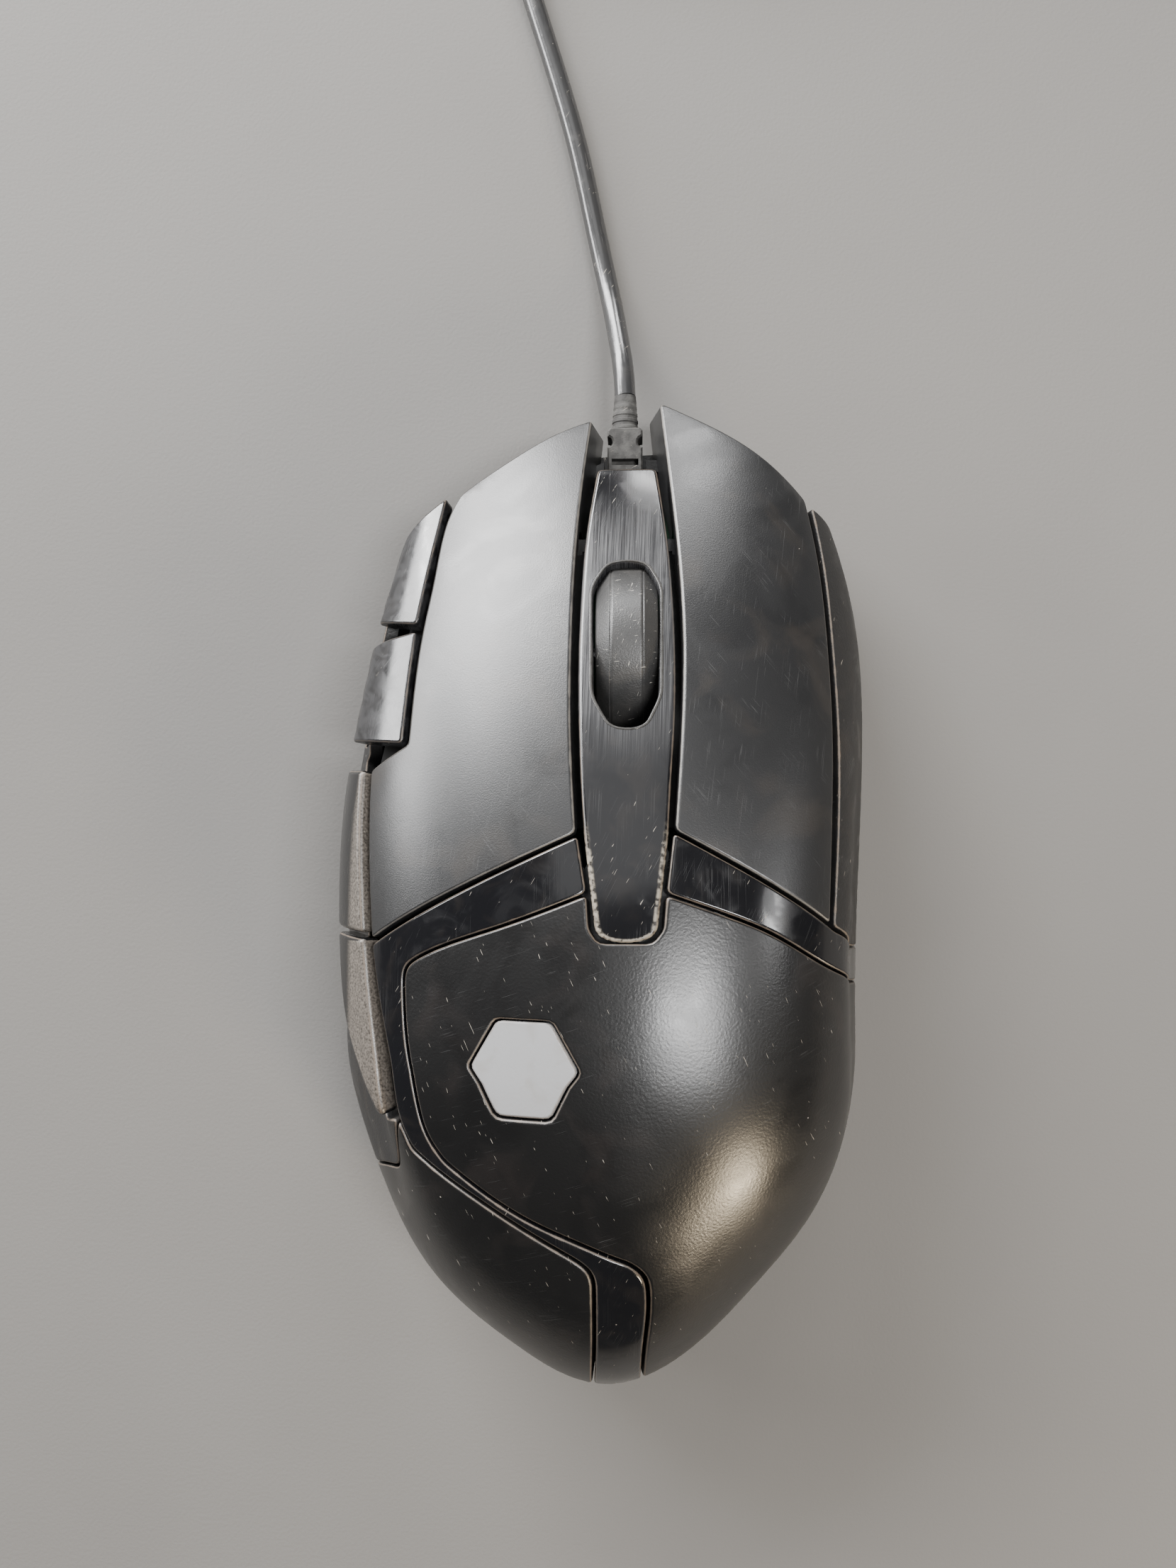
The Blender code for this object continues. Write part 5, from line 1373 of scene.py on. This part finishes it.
def cut(piece, cutter_mesh, name):
    """Cuts a mesh out of a piece for good."""
    cutter = bpy.data.objects.new(name, finished(name, cutter_mesh))
    bpy.context.scene.collection.objects.link(cutter)
    boolean = piece.modifiers.new(name, "BOOLEAN")
    boolean.object = cutter
    boolean.solver = "EXACT"
    evaluated = piece.evaluated_get(bpy.context.evaluated_depsgraph_get())
    result = bpy.data.meshes.new_from_object(evaluated)
    piece.modifiers.clear()
    piece.data = result
    result.set_sharp_from_angle(angle=SHARP)
    bpy.data.objects.remove(cutter)


# ---- The wheel --------------------------------------------------------------------------------------


def wheel():
    """The tyre: a flat band between two chamfers, with a fine groove along each edge of the band."""
    half, tread = WHEEL_WIDTH / 2, TREAD_WIDTH / 2
    bore, shoulder = HUB_RADIUS + 0.3, WHEEL_RADIUS - TYRE_CHAMFER
    groove, lip = WHEEL_RADIUS - TREAD_GROOVE, WHEEL_RADIUS - 0.12
    corners = (
        (bore, -half), (shoulder, -half), (lip, -tread - 0.12), (groove, -tread),
        (WHEEL_RADIUS, -tread + 0.25), (WHEEL_RADIUS, tread - 0.25), (groove, tread),
        (lip, tread + 0.12), (shoulder, half), (bore, half),
    )
    profile = rounded_profile(corners, 0.35)
    across = Matrix.Translation(WHEEL_CENTRE) @ Matrix.Rotation(math.radians(90), 4, "Y")
    levels = []
    for i in range(TYRE_SIDES):
        turn = 2 * math.pi * i / TYRE_SIDES
        levels.append([across @ Vector((r * math.cos(turn), r * math.sin(turn), h)) for r, h in profile])
    mesh = bmesh.new()
    add_rings(mesh, levels, closed=True)
    data = finished("wheel_tyre", mesh)
    add_object("wheel_tyre_skin", data, "rubber_black", "wheel_tyre", body="wheel")


# ---- The cable --------------------------------------------------------------------------------------


def relief_outline(x):
    """The block of the strain relief from above, with a round notch in each side."""
    outline = [(x - RELIEF_HALF, RELIEF_REAR_Y), (x + RELIEF_HALF, RELIEF_REAR_Y)]
    for side in (1, -1):
        edge = x + side * RELIEF_HALF
        turns = [math.radians(side * turn) for turn in np.linspace(-90, 90, 9)]
        along = [(-side * math.cos(turn), math.sin(turn)) for turn in turns]
        notch = [np.array((edge, RELIEF_NOTCH_Y)) + RELIEF_NOTCH * np.array(step) for step in along]
        corner = [(edge, RELIEF_FRONT_Y - 0.4), (edge - side * 0.4, RELIEF_FRONT_Y)]
        outline += [*notch, *corner] if side > 0 else [*corner[::-1], *notch]
    return np.array(outline, float)


def relief_sleeve(x, z):
    """The ribbed sleeve's rings, from the block to where the cable leaves it."""
    turns = [math.radians(15 * k) for k in range(24)]
    levels = []
    for i in range(41):
        share = i / 40
        rib = 0.14 * (math.sin(share * math.pi * 2 * SLEEVE_RIBS) > 0)
        radius = 1.85 - 0.3 * share + rib * (1 - share)
        y = SLEEVE_START_Y + (CABLE_EXIT[1] - SLEEVE_START_Y) * share
        levels.append([(x + radius * math.cos(t), y, z + radius * math.sin(t)) for t in turns])
    return levels


def strain_relief():
    """The block with its two round notches and its slot, the stub behind it and the ribbed sleeve."""
    x, _, z = CABLE_EXIT
    flat = relief_outline(x)
    half, bevelled = RELIEF_HALF, RELIEF_HALF - 0.3
    heights = ((0.25, z - half), (0, z - bevelled), (0, z + bevelled), (0.25, z + half))
    block = [[(*point, height) for point in flat + inward(flat) * step] for step, height in heights]
    stub = rounded_rectangle((x, z), (4.6, 4.6), 1.0)
    mesh = bmesh.new()
    lofted(mesh, block)
    lofted(mesh, [standing_ring(stub, y) for y in (60.6, 61.3)])
    lofted(mesh, relief_sleeve(x, z))
    data = finished("strain_relief", mesh)
    piece = add_object("strain_relief_skin", data, "rubber_black", "strain_relief", look=DUSTY_RUBBER)
    slot = bmesh.new()
    add_cube(slot, (x, 63.1, z + 2.2), (3.8, 0.9, 2.6))
    cut(piece, slot, "relief_slot")
    return piece


def coil_moves():
    """When the winding changes column or row: (turn where it starts, columns inwards, rows up)."""
    moves = []
    turn = 0.0
    for row in range(COIL_ROWS):
        inwards = row % 2 == 0
        for _ in range(COIL_COLUMNS - 1):
            moves.append((turn + (0.5 if inwards else 0.0), 1 if inwards else -1, 0))
            turn += 1
        if row < COIL_ROWS - 1 and inwards:
            moves.append((turn + 0.25, 0, 1))
            turn += 1
        elif row < COIL_ROWS - 1:
            moves.append((turn - 0.25, 0, 1))
    return moves, turn - 0.75


def coil_route():
    """The cable's centreline through the coil, wound inwards and outwards row by row."""
    moves, total = coil_moves()
    turns = np.linspace(0, total, round(total * COIL_TURN_POINTS) + 1)
    column, row = np.zeros(len(turns)), np.zeros(len(turns))
    for start, inwards, up in moves:
        share = ease((turns - start) / COIL_MOVE)
        column += inwards * share
        row += up * share
    radius = COIL_INNER_TURN + COIL_PITCH * (COIL_COLUMNS - 1 - column)
    angle = math.pi - 2 * math.pi * turns
    x, y = COIL_CENTRE
    z = COIL_BOTTOM_Z + COIL_PITCH * (row + 0.5)
    return np.stack([x + radius * np.cos(angle), y + radius * np.sin(angle), z], 1)


def tail_route():
    """From the top of the coil's far side, down beside it and back to the plug."""
    x, y = COIL_CENTRE
    far_y = y + COIL_INNER_TURN + COIL_PITCH * (COIL_COLUMNS - 1)
    top_turn = COIL_BOTTOM_Z + COIL_PITCH * (COIL_ROWS - 0.5)
    plug_x, plug_y, plug_z = USB_PLACE
    return (
        (x + 9.5, far_y + 2.6, top_turn - 1.0), (x + 14.0, far_y + 3.6, top_turn - 2.6),
        (x + 20.0, far_y + 5.4, top_turn - 4.9), (x + 26.5, far_y + 6.6, 4.4),
        (plug_x - 3.6, plug_y + 9.4, 4.0), (plug_x - 0.5, plug_y + 4.6, plug_z),
        (plug_x, plug_y + 0.3, plug_z),
    )


def cable():
    """The whole cable as one curve, and its real length in millimetres."""
    winding = coil_route()
    into = smooth_path([CABLE_EXIT, *RUN_ROUTE, *winding[:3]], CABLE_SPACING)
    out = smooth_path([*winding[-3:], *tail_route()], CABLE_SPACING)
    route = np.concatenate([into[:-1], winding[2:-3], out])
    data = bpy.data.curves.new("cable", "CURVE")
    data.dimensions = "3D"
    data.bevel_depth = CABLE_DIAMETER / 2000
    data.bevel_resolution = 4
    data.use_fill_caps = True
    line = data.splines.new("POLY")
    line.points.add(len(route) - 1)
    line.use_smooth = True
    for point, place in zip(line.points, to_frame(route)):
        point.co = (*place, 1)
    nodes = ("cable_run", "cable_coil", "cable_tail")
    piece = add_object("cable", data, "rubber_black", *nodes, look=CABLE_JACKET)
    return piece, np.linalg.norm(np.diff(route, axis=0), axis=1).sum()


def coil_tie():
    """A hook-and-loop band round the coil's bundle, with thin edges."""
    low, high = node_box("cable_tie")
    middle, size = (low + high) / 2, high - low
    outer = rounded_rectangle(middle[[0, 2]], size[[0, 2]], 2.0, 8)
    half, flat_half = TIE_HALF_WIDTH, TIE_HALF_WIDTH - 0.15
    section = ((-half, 0.1), (-flat_half, 0.0), (flat_half, 0.0), (half, 0.1), (half, 0.4), (-half, 0.4))
    levels = [standing_ring(outer + inward(outer) * depth, middle[1] + y) for y, depth in section]
    mesh = bmesh.new()
    add_rings(mesh, levels, closed=True)
    data = finished("cable_tie", mesh)
    return add_object("cable_tie_skin", data, "grip_black", "cable_tie", look=TIE_CLOTH)


def usb_body():
    """The plug's moulded body, with finger ribs and a neck towards the cable."""
    x, y, z = USB_PLACE
    width, length, height = USB_BODY
    levels = []
    for i in range(45):
        share = i / 44
        ribs = 0.35 * hump(share, 0.25, 0.5, 0.85) * (0.5 - 0.5 * math.cos(share * 2 * math.pi * USB_RIBS))
        ends = 0.9 * (1 - math.sqrt(1 - (1 - min(1, min(share, 1 - share) / 0.05)) ** 2))
        neck = 3.6 * ease((share - 0.86) / 0.14)
        size = (width - 2 * (ribs + ends + neck), height - 2 * (ribs + ends + neck * 0.45))
        ring = rounded_rectangle((x, z), size, 1.8)
        levels.append(standing_ring(ring, y - length + length * share))
    mesh = bmesh.new()
    lofted(mesh, levels)
    data = finished("usb_plug_body", mesh)
    look = LOOKS["satin_black"]
    return add_object("usb_plug_skin", data, "rubber_black", "usb_plug_body", look=look)


def usb_shell():
    """A folded tube of sheet metal with its two square windows."""
    low, high = node_box("usb_plug_shell")
    middle, size = (low + high) / 2, high - low
    front, rear = low[1], high[1]
    outer = rounded_rectangle(middle[[0, 2]], size[[0, 2]], 0.6, 4)
    inner = outer + inward(outer) * 0.4
    bevelled = outer + inward(outer) * 0.15
    section = ((outer, rear), (outer, front + 0.15), (bevelled, front), (inner, front), (inner, rear - 3.0))
    mesh = bmesh.new()
    lofted(mesh, [standing_ring(ring, at) for ring, at in section])
    shell = add_object("usb_shell_skin", finished("usb_plug_shell", mesh), "steel", "usb_plug_shell")
    holes = bmesh.new()
    for side in (-1, 1):
        for face in (high[2], low[2]):
            add_cube(holes, (middle[0] + side * 2.6, front + 7.4, face), (2.4, 2.2, 1.4))
    cut(shell, holes, "usb_windows")
    return shell


def usb_contacts():
    """The tongue with its four metal contacts."""
    low, high = node_box("usb_contact_block")
    middle = (low + high) / 2
    mesh = bmesh.new()
    add_cube(mesh, middle, high - low)
    data = finished("usb_contact_block", mesh)
    block = add_object("usb_contact_skin", data, "switch_white", "usb_contact_block")
    block.data.materials.append(LOOKS["steel"])
    strips = bmesh.new()
    strips.from_mesh(block.data)
    for i in range(4):
        strip = add_cube(strips, (middle[0] + (i - 1.5) * 2.3, middle[1], low[2] - 0.1), (1.1, 9.0, 0.3))
        for face in {face for vert in strip["verts"] for face in vert.link_faces}:
            face.material_index = 1
    strips.to_mesh(block.data)
    strips.free()
    return block


def cord():
    """The cable with everything on it."""
    relief = strain_relief()
    piece, length = cable()
    tie = coil_tie()
    plug = [usb_body(), usb_shell(), usb_contacts()]


# ---- The studio -------------------------------------------------------------------------------------


def area_light(name, towards, distance, size, power, colour=(1, 1, 1)):
    """A soft panel seen from the object in a direction, facing it. size is its width and height."""
    data = bpy.data.lights.new(name, "AREA")
    data.shape = "RECTANGLE"
    data.size, data.size_y = size
    data.energy = power
    data.color = colour
    light = bpy.data.objects.new(name, data)
    direction = Vector(towards).normalized()
    light.location = direction * distance + Vector((0, 0, 0.03))
    light.rotation_euler = direction.to_track_quat("Z", "Y").to_euler()
    bpy.context.scene.collection.objects.link(light)


def floor():
    """The pale surface that everything lies on."""
    mesh = bmesh.new()
    bmesh.ops.create_grid(mesh, x_segments=1, y_segments=1, size=1.5)
    desk = bpy.data.objects.new("desk", finished("desk", mesh))
    desk.data.materials.append(desk_top())
    bpy.context.scene.collection.objects.link(desk)


def lights():
    """Broad windows beyond the nose and on the left, soft light from above and a warm lamp behind."""
    area_light("window", (-0.48, 0.78, 0.40), 0.75, (0.46, 0.32), 13.5)
    area_light("low_window", (0.16, 0.93, 0.33), 0.80, (0.24, 0.12), 2.0)
    area_light("left_window", (-0.85, 0.46, 0.22), 0.90, (0.50, 0.26), 7.5)
    area_light("ceiling", (-0.05, 0.48, 0.87), 0.80, (0.50, 0.35), 0.6)
    area_light("overhead", (0.40, -0.04, 0.92), 0.70, (0.14, 0.28), 4.3)
    area_light("warm_lamp", (0.62, -0.68, 0.39), 0.80, (0.15, 0.15), 3.8, (1.0, 0.82, 0.58))
    area_light("side", (0.86, 0.10, 0.50), 0.80, (0.08, 0.12), 0.5)
    world = bpy.data.worlds.new("studio")
    world.use_nodes = True
    sky = world.node_tree.nodes["Background"]
    sky.inputs["Color"].default_value = (0.97, 0.98, 1.0, 1)
    sky.inputs["Strength"].default_value = 0.09
    bpy.context.scene.world = world


def camera():
    """Above the body's middle, looking down and a little back towards the palm."""
    data = bpy.data.cameras.new("camera")
    data.sensor_fit = "VERTICAL"
    data.sensor_height = CAMERA_SENSOR
    data.sensor_width = CAMERA_SENSOR
    data.lens = CAMERA_LENS
    data.clip_start = 0.005
    seen = bpy.data.objects.new("camera", data)
    forward = Vector(CAMERA_FORWARD).normalized()
    right = forward.cross(Vector((0, 1, 0))).normalized()
    up = right.cross(forward)
    turned = Matrix((right, up, -forward)).transposed().to_4x4()
    seen.matrix_world = Matrix.Translation(CAMERA_PLACE) @ turned
    bpy.context.scene.collection.objects.link(seen)
    bpy.context.scene.camera = seen


dress_nodes()
cord()
main_buttons()
spine_cover()
trim()
palm_shell()
left_rear_panel()
thumb_rest()
thumb_tip_button()
index_buttons()
thumb_buttons()
right_side_panel()
shade_sheets()
wheel()
floor()
lights()
camera()
